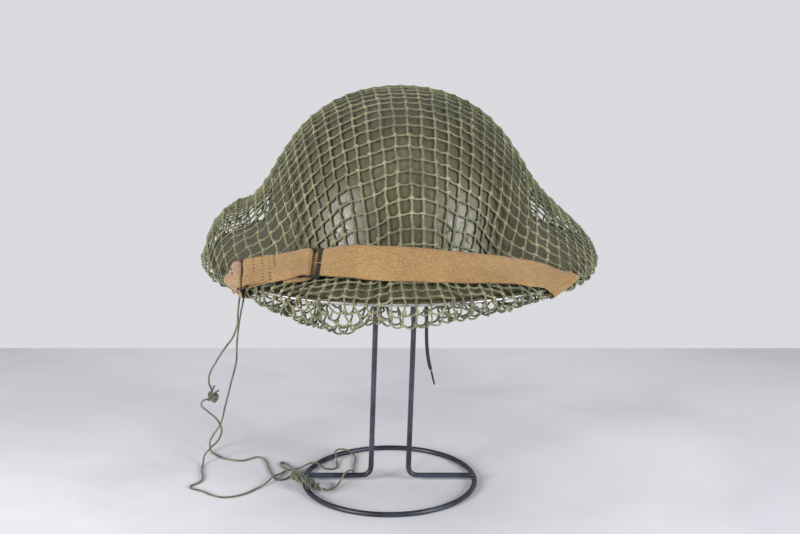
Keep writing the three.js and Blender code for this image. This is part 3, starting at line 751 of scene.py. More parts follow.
def makeShellPaint():
    look, tree, body = newLook("olivePaint")
    where = objectPlace(tree)
    height = axesOf(tree, where)["Z"]
    broad = noise(tree, where, 13, 3, 0.55, 0.4)
    patch = noise(tree, where, 30, 5, 0.62, 0.6)
    fine = noise(tree, where, 210, 4, 0.6)
    streak = noise(tree, stretched(tree, where, (260, 260, 26), (0.5, 0.2, 0.3)), 1, 4, 0.65)
    scratch = noise(tree, stretched(tree, where, (34, 420, 420), (0.3, 0.9, 0.5)), 1, 3, 0.7)
    shade = mixed(tree, between(tree, broad, 0.36, 0.64), shellBuild["olive"], shellBuild["oliveLight"])
    shade = mixed(tree, between(tree, patch, 0.5, 0.68, 0, 0.7), shade, shellBuild["oliveBrown"])
    shade = mixed(tree, between(tree, streak, 0.52, 0.74, 0, 0.3), shade, shellBuild["dusty"])
    top = between(tree, height, 0.275, 0.305)
    dust = calc(tree, "MULTIPLY", top, between(tree, patch, 0.3, 0.6, 0.15, 0.7))
    shade = mixed(tree, dust, shade, shellBuild["dusty"])
    # painted light: the brim's top, below 0.198 m, is painted lighter in a dusty olive to stand in for the
    # light falling on it
    brim = between(tree, height, 0.198, 0.189, 0, 0.62)
    shade = mixed(tree, brim, shade, shellBuild["brimPaintedLight"])
    chip = calc(tree, "MULTIPLY", between(tree, fine, 0.56, 0.64), between(tree, patch, 0.5, 0.58))
    shade = mixed(tree, chip, shade, shellBuild["scuff"])
    grit = noise(tree, where, 760, 3, 0.65)
    shade = mixed(tree, between(tree, grit, 0.62, 0.72, 0, 0.45), shade, shellBuild["steel"])
    shade = mixed(tree, between(tree, grit, 0.38, 0.28, 0, 0.5), shade, shellBuild["scuff"])
    line = between(tree, scratch, 0.70, 0.75, 0, 0.55)
    shade = mixed(tree, line, shade, shellBuild["steel"])
    roughness = between(tree, fine, 0.3, 0.7, 0.36, 0.47)
    roughness = calc(tree, "ADD", roughness, between(tree, grit, 0.4, 0.65, -0.05, 0.09))
    roughness = calc(tree, "ADD", roughness, calc(tree, "MULTIPLY", chip, 0.25))
    roughness = calc(tree, "ADD", roughness, calc(tree, "MULTIPLY", dust, 0.22))
    body.inputs["Specular IOR Level"].default_value = 0.6
    pits = raised(tree, chip, -0.00012)
    grain = raised(tree, grit, 0.00006, pits)
    finishLook(tree, body, shade, roughness, raised(tree, broad, 0.0006, grain))
    return look


shellPaint = makeShellPaint()
lastRow = len(bowlRows) - 1


# rings down the outer face and back up the inner one
def domeWall(surface, stations, around, inner, outer):
    azimuth = np.linspace(0, 2 * np.pi, around, endpoint=False)
    u = np.broadcast_to(np.asarray(stations, float)[:, None], (len(stations), around))
    a = np.broadcast_to(azimuth[None], u.shape)
    down = offsetPoint(surface, u, a, np.full(u.shape, outer))
    up = offsetPoint(surface, u, a, np.full(u.shape, inner))[::-1]
    rings = np.concatenate([down, up])
    return rings.reshape(-1, 3), gridFaces(len(rings), around)


# the bowl with the slight unevenness of pressed steel
def dented(u, azimuth):
    x, y = np.cos(azimuth), np.sin(azimuth)
    wave = np.sin(5 * x + 0.7 * u) * np.cos(4 * y - 0.5 * u) + 0.5 * np.sin(9 * x * y + 0.9 * u)
    fade = smoothStep(u, 0.5, 3) * (1 - smoothStep(u, 7, 9))
    return offsetPoint(bowlSurface, u, azimuth, shellBuild["dents"] * wave * fade)


shellStations = np.linspace(0, lastRow, lastRow * shellBuild["stepsPerRow"] + 1)
shellPoints, shellFaces = domeWall(dented, shellStations, shellBuild["around"], -shellBuild["thick"], 0)
shellPiece = addPiece("helmet_shell", shellPoints, shellFaces, shellPaint, weld=True)
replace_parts(shellPiece, "steel_shell")
print("shell raised")

# Folded edging round the brim.
bandBuild = {
    "thick": 0.0023,
    "reach": 0.0013,  # how far it stands past the sheet's edge
    "depth": 0.006,
    "wall": 0.00055,
    "round": 0.001,
    "innerRound": 0.0004,
    "around": 224,
    "crimps": 46,
    "crimpDepth": 0.00012,
    "tip": 0.0012,  # how far back from the tip the paint is rubbed off
    "paint": color(88, 86, 64),
    "bare": color(178, 176, 176),
    "rust": color(92, 66, 48),
}


def makeEdging():
    look, tree, body = newLook("edgingSteel")
    where = objectPlace(tree)
    worn = noise(tree, where, 60, 5, 0.62, 0.5)
    spot = noise(tree, where, 330, 4, 0.6)
    tip = attributeOf(tree, "tip")["Fac"]
    rubbed = between(tree, calc(tree, "MULTIPLY_ADD", tip, 0.3, worn), 0.6, 0.72)
    shade = mixed(tree, rubbed, bandBuild["paint"], bandBuild["bare"])
    rust = calc(tree, "MULTIPLY", between(tree, spot, 0.56, 0.68), between(tree, worn, 0.35, 0.55))
    shade = mixed(tree, rust, shade, bandBuild["rust"])
    tree.links.new(calc(tree, "MULTIPLY", rubbed, 0.7), body.inputs["Metallic"])
    finishLook(tree, body, shade, between(tree, spot, 0.3, 0.7, 0.24, 0.42), raised(tree, spot, 0.00006))
    return look


# cuts each corner of an outline round, open at its ends; most is the share of a side that a corner may take
def roundedCorner(points, size, steps=4, most=0.48):
    made = [points[0]]
    for before, here, after in zip(points, points[1:], points[2:]):
        a = here + unit(before - here) * min(size, np.linalg.norm(before - here) * most)
        b = here + unit(after - here) * min(size, np.linalg.norm(after - here) * most)
        for t in np.linspace(0, 1, steps + 1):
            made.append(a * (1 - t) ** 2 + here * 2 * t * (1 - t) + b * t * t)
    made.append(points[-1])
    return np.array(made)


# the folded strip cut across: how far out, how high
def bandSection():
    half = bandBuild["thick"] / 2
    tip, back = bandBuild["reach"], bandBuild["reach"] - bandBuild["depth"]
    slot = half - bandBuild["wall"]
    root = tip - bandBuild["wall"] * 1.7
    outer = np.array([[back, half], [tip, half], [tip, -half], [back, -half]])
    inner = np.array([[back, -slot], [root, -slot], [root, slot], [back, slot]])
    return np.concatenate([
        roundedCorner(outer, bandBuild["round"]),
        roundedCorner(inner, bandBuild["innerRound"]),
    ])


def makeBand():
    azimuth = np.linspace(0, 2 * np.pi, bandBuild["around"], endpoint=False)
    u = np.full(azimuth.shape, float(lastRow))
    edge = offsetPoint(bowlSurface, u, azimuth, np.full(u.shape, -shellBuild["thick"] / 2))
    inside = offsetPoint(bowlSurface, u - 1, azimuth, np.full(u.shape, -shellBuild["thick"] / 2))
    out = unit(edge - inside)
    side = np.stack([-np.sin(azimuth), np.cos(azimuth), 0 * azimuth], -1)
    rise = unit(np.cross(out, side))
    section = bandSection()
    crimp = bandBuild["crimpDepth"] * np.abs(np.sin(azimuth * bandBuild["crimps"]))[:, None, None]
    reach, lift = section[None, :, :1], section[None, :, 1:]
    points = edge[:, None] + out[:, None] * reach + rise[:, None] * (lift - np.sign(lift) * crimp)
    tip = smoothStep(section[:, 0], bandBuild["reach"] - bandBuild["tip"], bandBuild["reach"])
    faces = gridFaces(len(azimuth), len(section), closed=True)
    return points.reshape(-1, 3), faces, np.tile(tip, len(azimuth))


bandPoints, bandFaces, bandTip = makeBand()
bandPiece = addPiece("brim_edging", bandPoints, bandFaces, makeEdging(), {"tip": bandTip})
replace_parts(bandPiece, "rim_band")
print("edging folded")

# Net cover: a square mesh laid over the crown, fitted to the bowl without stretching.
netBuild = {
    "bar": 0.0102,  # knot to knot
    "turn": 0.055,  # the mesh's turn on the crown, radians
    "shift": (0.002, 0.001),
    "rounds": 260,  # of pulling each bar back to its length
    "settling": 6,  # more of them, once the knots have slipped
    "push": 0.45,  # how far a bar resists being crowded, against 1 for being stretched
    "sidePush": 0.2,  # the same at the sides, where the surplus gathers
    "gatherAngles": (30, 60),  # from front or back: where bars start to give, and where they give all
    "gatherRadii": (0.04, 0.09),  # the same by how far they lie from the crown
    "evenness": 0.3,
    "settledEvenness": 0.26,
    "spread": 0.035,  # unevenness of the bars' lengths
    "startShift": 0.0006,
    "longestShift": 0.002,  # in one round
    "wander": 0.0011,  # how far the knots have slipped about
    "wanderWaves": (9, 0.02, 0.07),  # how many, shortest, longest
    "hemSurplus": 0.006,
    "clear": 0.0009,
    "wall": 0.0015,
    "edgeLift": 0.001,
    "freeAngles": (36, 62),  # from the front: where the net starts to leave the bowl, and where it is free
    "ruffle": 0.0095,  # how far the net stands up from the brim at the tab's side
    "ruffleAngles": (52, 14),  # from the left: where it starts, and where it stands full
    "ruffleRows": (7.8, 11, 12),  # where it starts, stands full, and sinks again
    "ruffleSink": 0.6,
    "meridian": 2.0,  # degrees between the surface's columns
    "rowStep": 0.125,
    "cell": 0.0025,
    "half": 0.3,
    "twine": 0.0014,
    "unevenTwine": 0.09,
    "sides": 6,
    "stepsPerBar": 4,
    "slackOnBowl": 0.006,
    "slackUnder": 0.06,
    "slackRange": (0.4, 1.6),
    "leastSag": 0.00025,
    "mostSag": 0.0028,
    "sideSag": (0.1, 0.7),  # how far a bar falls sideways, against 1 down
    "lopsided": 0.6,
    "crinkle": 0.0002,
    "knotLift": 0.0004,
    "knotSize": 0.003,
    "knotShape": (1.08, 0.86, 0.72),
    "knotLean": 0.7,
    "seed": 11,
}

# the net where it hangs free of the bowl, in the same rows as the bowl
freeNetRows = [
    (0.1215, 0, 0),
    (0.12, 0.0193, 0.0213),
    (0.1148, 0.0393, 0.0433),
    (0.1042, 0.059, 0.0655),
    (0.0894, 0.075, 0.083),
    (0.071, 0.088, 0.0965),
    (0.056, 0.097, 0.1055),
    (0.044, 0.106, 0.114),
    (0.035, 0.1145, 0.122),
    (0.028, 0.1215, 0.1285),
    (0.022, 0.128, 0.135),
    (0.017, 0.1335, 0.1405),
    (0.0115, 0.1385, 0.1455),
    (0.007, 0.142, 0.1485),
    (0.004, 0.144, 0.1503),
]

# out from the edge, height over it, share of the hanging depth
netUnderRows = [
    (0.0034, 0.0006, 0),
    (0.0026, -0.0028, 0.3),
    (-0.002, -0.0038, 0.85),
    (-0.009, -0.004, 1),
    (-0.017, -0.0036, 0.8),
    (-0.024, -0.0026, 0.4),
    (-0.03, -0.0014, 0.05),
]

# azimuth in degrees, depth that the slack net hangs below the brim
netHangRows = [
    (-140, 0), (-126, 0.008), (-114, 0.014), (-105, 0.019), (-96, 0.009), (-88, 0.014),
    (-76, 0.008), (-62, 0.005), (-48, 0),
]


# 0 where the net hugs the bowl, 1 where it is free of it
def netFreedom(azimuth):
    fromFront = np.abs((np.degrees(azimuth) + 270) % 360 - 180)
    return smoothStep(fromFront, *netBuild["freeAngles"])


def netHang(azimuth):
    degrees = (np.degrees(azimuth) + 540) % 360 - 180
    table = np.array(netHangRows, float)
    i = np.clip(np.searchsorted(table[:, 0], degrees, side="right"), 1, len(table) - 1)
    low, high = table[i - 1], table[i]
    share = (degrees - low[..., 0]) / (high[..., 0] - low[..., 0])
    depth = low[..., 1] + (high[..., 1] - low[..., 1]) * smoothStep(share, 0, 1)
    return np.where((degrees < table[0, 0]) | (degrees > table[-1, 0]), 0, depth)


def netRuffle(u, azimuth):
    fromLeft = np.abs(np.degrees(azimuth) % 360 - 180)
    start, full, sinks = netBuild["ruffleRows"]
    height = smoothStep(u, start, full) * (1 - netBuild["ruffleSink"] * smoothStep(u, sinks, lastRow))
    return netBuild["ruffle"] * height * smoothStep(fromLeft, *netBuild["ruffleAngles"])


def netOver(u, azimuth):
    lift = netBuild["edgeLift"] * smoothStep(u, lastRow - 2, lastRow)
    held = offsetPoint(bowlSurface, u, azimuth, netBuild["clear"] + netBuild["wall"] / 2 + lift)
    free = netFreedom(azimuth)[..., None]
    ruffle = netRuffle(u, azimuth)[..., None] * np.array([0, 0, 1.0])
    return held * (1 - free) + tablePoint(freeNetRows, u, azimuth) * free + ruffle


# rows past the bowl's last are the ones under the brim
def netSurface(u, azimuth):
    over = netOver(np.minimum(u, lastRow), azimuth)
    k = np.clip(u - lastRow, 0, len(netUnderRows) - 1e-6)
    i = np.floor(k).astype(int)
    table = np.array(netUnderRows, float)

    def row(j):
        out, up, hang = (table[np.clip(j - 1, 0, len(table) - 1), c] for c in range(3))
        x, y = planPoint(bowlRows[-1][1] + out, bowlRows[-1][2] + out, azimuth)
        point = np.stack([x, y, shellBuild["rimHeight"] + up - hang * netHang(azimuth)], -1)
        return np.where((j == 0)[..., None], over, point)

    t = (k - i)[..., None]
    return np.where((u > lastRow)[..., None], row(i) * (1 - t) + row(i + 1) * t, over)


# the net's surface read by flat coordinates: far from the crown, and in which direction
class NetCloth:
    def __init__(self):
        self.cell, self.half = netBuild["cell"], netBuild["half"]
        self.azimuth = np.radians(np.arange(0, 361, netBuild["meridian"]))
        u = np.arange(0, lastRow + len(netUnderRows) + 0.001, netBuild["rowStep"])
        rows, around = np.meshgrid(u, self.azimuth, indexing="ij")
        self.points = netSurface(rows, around)
        steps = np.linalg.norm(np.diff(self.points, axis=0), axis=2)
        self.far = np.concatenate([np.zeros((1, len(self.azimuth))), np.cumsum(steps, 0)])
        self.hem = self.far[-1]
        self.edge = self.far[np.argmin(np.abs(u - lastRow))]
        self.count = int(round(2 * self.half / self.cell)) + 1
        line = np.linspace(-self.half, self.half, self.count)
        x, y = np.meshgrid(line, line, indexing="ij")
        self.place = self.sample(x.ravel(), y.ravel()).reshape(self.count, self.count, 3)
        self.slopeX = np.gradient(self.place, self.cell, axis=0)
        self.slopeY = np.gradient(self.place, self.cell, axis=1)

    # past the hem it goes straight on inwards
    def onMeridian(self, column, far):
        made = np.empty((len(column), 3))
        for j in np.unique(column):
            chosen = column == j
            here = far[chosen]
            line = [np.interp(here, self.far[:, j], self.points[:, j, c]) for c in range(3)]
            inward = np.array([-math.cos(self.azimuth[j]), -math.sin(self.azimuth[j]), 0])
            made[chosen] = np.stack(line, -1) + np.maximum(here - self.hem[j], 0)[:, None] * inward
        return made

    def sample(self, x, y):
        at = np.mod(np.arctan2(y, x), 2 * np.pi) / math.radians(netBuild["meridian"])
        column = np.clip(np.floor(at).astype(int), 0, len(self.azimuth) - 2)
        t = (at - column)[:, None]
        far = np.hypot(x, y)
        return self.onMeridian(column, far) * (1 - t) + self.onMeridian(column + 1, far) * t

    # a grid's value between its cells
    def read(self, grid, x, y):
        fx = np.clip((x + self.half) / self.cell, 0, self.count - 1.001)
        fy = np.clip((y + self.half) / self.cell, 0, self.count - 1.001)
        i, j = fx.astype(int), fy.astype(int)
        a, b = (fx - i)[..., None], (fy - j)[..., None]
        low = grid[i, j] * (1 - a) + grid[i + 1, j] * a
        high = grid[i, j + 1] * (1 - a) + grid[i + 1, j + 1] * a
        return low * (1 - b) + high * b

    # a column's value in the direction of x, y
    def around(self, table, x, y):
        return np.interp(np.mod(np.degrees(np.arctan2(y, x)), 360), np.degrees(self.azimuth), table)

    def normal(self, x, y):
        return unit(np.cross(self.read(self.slopeX, x, y), self.read(self.slopeY, x, y)))


# knots on a square lattice and the bars between them
class NetLattice:
    def __init__(self, cloth, dice):
        bar = netBuild["bar"]
        reach = int(cloth.half / bar)
        line = np.arange(-reach, reach + 1)
        i, j = np.meshgrid(line, line, indexing="ij")
        x = i * bar + netBuild["shift"][0]
        y = j * bar + netBuild["shift"][1]
        c, s = math.cos(netBuild["turn"]), math.sin(netBuild["turn"])
        x, y = c * x - s * y, s * x + c * y
        inside = np.hypot(x, y) <= cloth.around(cloth.hem, x, y) + netBuild["hemSurplus"]
        number = -np.ones(i.shape, int)
        number[inside] = np.arange(inside.sum())
        self.number, self.x, self.y = number, x[inside], y[inside]
        self.cloth = cloth
        self.groups = []  # bars that share no knot within a group
        for axis in (0, 1):
            first = number[:-1, :] if axis == 0 else number[:, :-1]
            second = number[1:, :] if axis == 0 else number[:, 1:]
            parity = (i[:-1, :] if axis == 0 else j[:, :-1]) % 2
            for turn in (0, 1):
                chosen = (first >= 0) & (second >= 0) & (parity == turn)
                length = bar * (1 + netBuild["spread"] * dice.standard_normal(chosen.sum()))
                self.groups.append((first[chosen], second[chosen], length))
        self.one = np.concatenate([group[0] for group in self.groups])
        self.two = np.concatenate([group[1] for group in self.groups])
        ends = np.concatenate([self.one, self.two])
        self.degree = np.bincount(ends, minlength=len(self.x))
        self.rim = self.degree < 4

    # of the knots next to each knot
    def average(self, values):
        total = np.bincount(self.one, weights=values[self.two], minlength=len(values))
        total += np.bincount(self.two, weights=values[self.one], minlength=len(values))
        return total / np.maximum(self.degree, 1)

    # each end takes half of what a bar misses, and the rim goes halfway to the hem
    def relax(self, rounds, evenness):
        cloth = self.cloth
        pushes = [self.pushOf(a, b) for a, b, length in self.groups]
        for _ in range(rounds):
            for (a, b, length), push in zip(self.groups, pushes):
                reach = cloth.read(cloth.place, self.x[b], self.y[b])
                reach = reach - cloth.read(cloth.place, self.x[a], self.y[a])
                far = np.linalg.norm(reach, axis=1)
                miss = far - length
                share = np.where(miss > 0, 1.0, push)
                move = (0.5 * share * miss / np.maximum(far, 1e-9))[:, None] * reach
                self.shiftBy(a, move)
                self.shiftBy(b, -move)
            self.x = np.where(self.rim, self.x, self.x + evenness * (self.average(self.x) - self.x))
            self.y = np.where(self.rim, self.y, self.y + evenness * (self.average(self.y) - self.y))
            x, y = self.x[self.rim], self.y[self.rim]
            pull = 1 + (cloth.around(cloth.hem, x, y) / np.hypot(x, y) - 1) * 0.5
            self.x[self.rim] *= pull
            self.y[self.rim] *= pull

    # bars near the front and the back hold against crowding, those at the sides give
    def pushOf(self, a, b):
        x, y = np.abs(self.x[a] + self.x[b]), np.abs(self.y[a] + self.y[b])
        turn = np.degrees(np.arctan2(x, np.maximum(y, 1e-9)))
        give = smoothStep(turn, *netBuild["gatherAngles"])
        give = give * smoothStep(np.hypot(x, y) / 2, *netBuild["gatherRadii"])
        return netBuild["push"] + (netBuild["sidePush"] - netBuild["push"]) * give

    # moves knots in the flat coordinates so that they move this far on the surface
    def shiftBy(self, chosen, move):
        cloth = self.cloth
        least = 0.02  # keeps the division safe where the surface folds
        sx = cloth.read(cloth.slopeX, self.x[chosen], self.y[chosen])
        sy = cloth.read(cloth.slopeY, self.x[chosen], self.y[chosen])
        xx, yy, xy = (sx * sx).sum(1) + least, (sy * sy).sum(1) + least, (sx * sy).sum(1)
        rightX, rightY = (sx * move).sum(1), (sy * move).sum(1)
        size = np.maximum(xx * yy - xy * xy, least)
        dx, dy = (yy * rightX - xy * rightY) / size, (xx * rightY - xy * rightX) / size
        keep = np.minimum(1, netBuild["longestShift"] / np.maximum(np.hypot(dx, dy), 1e-12))
        self.x[chosen] += dx * keep
        self.y[chosen] += dy * keep


# a smooth random field, read at flat coordinates
def waves(dice, count, shortest, longest):
    angle = dice.uniform(0, 2 * np.pi, count)
    pitch = dice.uniform(shortest, longest, count)
    phase = dice.uniform(0, 2 * np.pi, count)

    def read(x, y):
        turn = (x[..., None] * np.cos(angle) + y[..., None] * np.sin(angle)) * 2 * np.pi / pitch
        return np.sin(turn + phase).sum(-1) / math.sqrt(count / 2)

    return read


dice = np.random.default_rng(netBuild["seed"])
cloth = NetCloth()
net = NetLattice(cloth, dice)
net.x += dice.normal(0, netBuild["startShift"], len(net.x))
net.y += dice.normal(0, netBuild["startShift"], len(net.y))
net.relax(netBuild["rounds"], netBuild["evenness"])
slipX, slipY = waves(dice, *netBuild["wanderWaves"]), waves(dice, *netBuild["wanderWaves"])
wander, startX, startY = netBuild["wander"], net.x.copy(), net.y.copy()
net.x += wander * slipX(startX, startY) + dice.normal(0, wander / 3, len(startX))
net.y += wander * slipY(startX, startY) + dice.normal(0, wander / 3, len(startX))
net.relax(netBuild["settling"], netBuild["settledEvenness"])
print("net fitted:", len(net.x), "knots,", len(net.one), "bars")


# 0 on the bowl, 1 from the brim's edge on to the hem
def overBrim(x, y):
    far = np.hypot(x, y)
    return smoothStep(far - cloth.around(cloth.edge, x, y), -0.004, 0.006)


# every line of knots along one axis, cut into points bar by bar, with the bars' slack let down
def strungLines(axis):
    number = net.number if axis == 0 else net.number.T
    lines = []
    for column in range(number.shape[1]):
        knots = number[:, column]
        knots = knots[knots >= 0]
        if len(knots) > 1:
            lines.append(knots)
    first = np.concatenate([line[:-1] for line in lines])
    second = np.concatenate([line[1:] for line in lines])
    share = np.arange(netBuild["stepsPerBar"]) / netBuild["stepsPerBar"]
    x = net.x[first][:, None] * (1 - share) + net.x[second][:, None] * share
    y = net.y[first][:, None] * (1 - share) + net.y[second][:, None] * share
    points = cloth.read(cloth.place, x, y)
    normals = cloth.normal(x, y)
    ends = cloth.read(cloth.place, net.x[second], net.y[second])
    reach = ends - points[:, 0]
    far = np.linalg.norm(reach, axis=1)
    along = unit(reach)
    under = overBrim(x[:, 1], y[:, 1])
    slack = netBuild["slackOnBowl"] + (netBuild["slackUnder"] - netBuild["slackOnBowl"]) * under
    loose = slack * dice.uniform(*netBuild["slackRange"], len(far))
    loose = np.maximum(netBuild["bar"] * (1 + loose) - far, 0)
    sag = np.sqrt(3 / 8 * np.maximum(far, 0.002) * loose) * (0.3 + 0.7 * under)  # a flat parabola's
    sag = np.clip(sag, netBuild["leastSag"], netBuild["mostSag"])
    middleNormal = normals[:, netBuild["stepsPerBar"] // 2]
    fall = np.array([0, 0, -1.0])
    down = fall - along * (along @ fall)[:, None]
    inPlane = down - middleNormal * (down * middleNormal).sum(1)[:, None]
    inPlane = inPlane * (1 - under)[:, None] + down * under[:, None]
    sideways = np.cross(middleNormal, along) * dice.choice([-1.0, 1.0], len(far))[:, None]
    lie = unit(inPlane + sideways * dice.uniform(*netBuild["sideSag"], len(far))[:, None])
    bow = 4 * share * (1 - share)
    skew = 1 + netBuild["lopsided"] * dice.uniform(-1, 1, (len(far), 1)) * (share - 0.5)
    points = points + (lie * sag[:, None])[:, None] * (bow * skew)[..., None]
    kink = dice.normal(0, netBuild["crinkle"], (len(far), len(share), 1))
    kink[:, 0] = 0
    points = points + unit(np.cross(middleNormal, along))[:, None] * kink
    lift = netBuild["knotLift"] * np.cos(np.pi * share) ** 2
    points = points + normals * lift[None, :, None]
    lastPoint = ends + cloth.normal(net.x[second], net.y[second]) * netBuild["knotLift"]
    return lines, points, lastPoint


# all lines as one set of points and edges
def netLines():
    points, edges = [], []
    start = 0
    for axis in (0, 1):
        lines, bars, lastPoint = strungLines(axis)
        at = 0
        for line in lines:
            count = len(line) - 1
            run = np.concatenate([bars[at:at + count].reshape(-1, 3), lastPoint[at + count - 1][None]])
            points.append(run)
            edges += [(start + k, start + k + 1) for k in range(len(run) - 1)]
            start += len(run)
            at += count
    return np.concatenate(points), edges


# a Geometry Nodes tree with named inputs: (name, kind, value)
def newTree(name, inputs):
    tree = bpy.data.node_groups.new(name, "GeometryNodeTree")
    tree.interface.new_socket("Geometry", in_out="INPUT", socket_type="NodeSocketGeometry")
    for label, kind, value in inputs:
        socket = tree.interface.new_socket(label, in_out="INPUT", socket_type="NodeSocket" + kind)
        if value is not None:
            socket.default_value = value
    tree.interface.new_socket("Geometry", in_out="OUTPUT", socket_type="NodeSocketGeometry")
    return tree, tree.nodes.new("NodeGroupInput"), tree.nodes.new("NodeGroupOutput")


# runs the tree on the piece and keeps the result as its plain mesh
def growMesh(piece, tree, values):
    modifier = piece.modifiers.new(tree.name, "NODES")
    modifier.node_group = tree
    for item in tree.interface.items_tree:
        if item.in_out == "INPUT" and item.name in values:
            modifier[item.identifier] = values[item.name]
    graph = bpy.context.evaluated_depsgraph_get()
    mesh = bpy.data.meshes.new_from_object(piece.evaluated_get(graph), depsgraph=graph)
    piece.modifiers.remove(modifier)
    spent = piece.data
    piece.data = mesh
    bpy.data.meshes.remove(spent)
    return mesh


def storedName(tree, geometry, name, kind, value):
    node = tree.nodes.new("GeometryNodeStoreNamedAttribute")
    node.data_type = kind
    node.domain = "POINT"
    node.inputs["Name"].default_value = name
    tree.links.new(geometry, node.inputs["Geometry"])
    tree.links.new(value, node.inputs["Value"])
    return node.outputs["Geometry"]


def readName(tree, name, kind):
    node = tree.nodes.new("GeometryNodeInputNamedAttribute")
    node.data_type = kind
    node.inputs["Name"].default_value = name
    return node.outputs[0]


def finishTree(tree, geometry, output, look):
    smooth = tree.nodes.new("GeometryNodeSetShadeSmooth")
    tree.links.new(geometry, smooth.inputs["Geometry"])
    real = tree.nodes.new("GeometryNodeRealizeInstances")
    tree.links.new(smooth.outputs[0], real.inputs[0])
    painted = tree.nodes.new("GeometryNodeSetMaterial")
    painted.inputs["Material"].default_value = look
    tree.links.new(real.outputs[0], painted.inputs["Geometry"])
    tree.links.new(painted.outputs[0], output.inputs[0])


# edges into twine: a round section along every line
def twineTree():
    tree, given, output = newTree("twineAlongLines", [
        ("Twine Size", "Float", netBuild["twine"]),
        ("Sides", "Int", netBuild["sides"]),
    ])
    curve = tree.nodes.new("GeometryNodeMeshToCurve")
    tree.links.new(given.outputs["Geometry"], curve.inputs["Mesh"])
    length = tree.nodes.new("GeometryNodeSplineParameter").outputs["Length"]
    line = storedName(tree, curve.outputs["Curve"], "alongTwine", "FLOAT", length)
    ring = tree.nodes.new("GeometryNodeCurvePrimitiveCircle")
    tree.links.new(given.outputs["Sides"], ring.inputs["Resolution"])
    tree.links.new(calc(tree, "MULTIPLY", given.outputs["Twine Size"], 0.5), ring.inputs["Radius"])
    place = tree.nodes.new("GeometryNodeInputPosition")
    even = tree.nodes.new("ShaderNodeVectorMath")
    even.operation = "NORMALIZE"
    tree.links.new(place.outputs[0], even.inputs[0])
    section = storedName(tree, ring.outputs["Curve"], "roundTwine", "FLOAT_VECTOR", even.outputs[0])
    tube = tree.nodes.new("GeometryNodeCurveToMesh")
    tube.inputs["Fill Caps"].default_value = True
    tree.links.new(line, tube.inputs["Curve"])
    tree.links.new(section, tube.inputs["Profile Curve"])
    tree.links.new(readName(tree, "girth", "FLOAT"), tube.inputs["Scale"])
    finishTree(tree, tube.outputs["Mesh"], output, netTwine)
    return tree


# what a Geometry Nodes tree grows from, or a lump that it copies
def bareMesh(name, points, edges=(), faces=(), facts=None):
    mesh = bpy.data.meshes.new(name)
    mesh.from_pydata(np.asarray(points, float).tolist(), list(edges), list(faces))
    writeFacts(mesh, facts or {})
    return linked(name, mesh)


linePoints, lineEdges = netLines()
lineGirth = 1 + netBuild["unevenTwine"] * dice.uniform(-1, 1, len(linePoints))
netPiece = bareMesh("net_mesh", linePoints, edges=lineEdges, facts={"girth": lineGirth})
growMesh(netPiece, twineTree(), {"Twine Size": netBuild["twine"], "Sides": netBuild["sides"]})
finishPiece(netPiece, netTwine)
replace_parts(netPiece, "net_cover")
print("net strung:", len(linePoints), "points")


# Knots of the net: each a lump of a few dozen faces with the twine's turns across it.
def knotLump(sides=8, rings=6):
    points, faces = [(0, 0, -0.5)], []
    for r in range(1, rings):
        lift = math.pi * r / rings
        for s in range(sides):
            angle = 2 * math.pi * s / sides
            swell = 0.5 * (1 + 0.2 * math.cos(2 * angle + 2.6 * lift))
            points.append((
                swell * math.sin(lift) * math.cos(angle),
                swell * math.sin(lift) * math.sin(angle),
                -0.5 * math.cos(lift) * (1 + 0.1 * math.sin(3 * angle)),
            ))
    points.append((0, 0, 0.5))
    top = len(points) - 1
    for s in range(sides):
        t = (s + 1) % sides
        faces.append((0, 1 + t, 1 + s))
        faces.append((top, top - sides + s, top - sides + t))
        for r in range(rings - 2):
            low = 1 + r * sides
            faces.append((low + s, low + t, low + sides + t, low + sides + s))
    return bareMesh("knotLump", points, faces=faces)


# a copy of the given object on every point, turned and sized by the points' own attributes
def copiesTree(name, look):
    tree, given, output = newTree(name, [("Copied Object", "Object", None)])
    info = tree.nodes.new("GeometryNodeObjectInfo")
    tree.links.new(given.outputs["Copied Object"], info.inputs["Object"])
    rotation = tree.nodes.new("FunctionNodeEulerToRotation")
    tree.links.new(readName(tree, "turn", "FLOAT_VECTOR"), rotation.inputs[0])
    copies = tree.nodes.new("GeometryNodeInstanceOnPoints")
    tree.links.new(given.outputs["Geometry"], copies.inputs["Points"])
    tree.links.new(info.outputs["Geometry"], copies.inputs["Instance"])
    tree.links.new(rotation.outputs[0], copies.inputs["Rotation"])
    tree.links.new(readName(tree, "size", "FLOAT_VECTOR"), copies.inputs["Scale"])
    finishTree(tree, copies.outputs["Instances"], output, look)
    return tree


# the XYZ Euler angles of frames given by their three axes
def turnsOf(x, y, z):
    pitch = np.arcsin(np.clip(-x[:, 2], -1, 1))
    roll = np.arctan2(y[:, 2], z[:, 2])
    yaw = np.arctan2(x[:, 1], x[:, 0])
    return np.stack([roll, pitch, yaw], -1)


def addCopies(name, source, places, turns, sizes, look):
    piece = bareMesh(name, places, facts={"turn": turns, "size": sizes})
    growMesh(piece, copiesTree(name + "Tree", look), {"Copied Object": source})
    bpy.data.objects.remove(source)
    finishPiece(piece, look)
    return piece


def knotFrames():
    normal = cloth.normal(net.x, net.y)
    place = cloth.read(cloth.place, net.x, net.y) + normal * netBuild["knotLift"]
    reach = np.zeros_like(place)
    for first, second, _ in net.groups[:2]:  # the bars of one axis
        reach[first] += place[second] - place[first]
        reach[second] += place[second] - place[first]
    along = unit(reach + 1e-6)
    along = unit(along - normal * (along * normal).sum(1)[:, None])
    lean = dice.uniform(-netBuild["knotLean"], netBuild["knotLean"], len(place))[:, None]
    across = np.cross(normal, along)
    along = along * np.cos(lean) + across * np.sin(lean)
    size = netBuild["knotSize"] * dice.uniform(0.85, 1.12, (len(place), 1))
    size = size * np.array(netBuild["knotShape"]) * dice.uniform(0.92, 1.08, place.shape)
    return place, turnsOf(along, np.cross(normal, along), normal), size


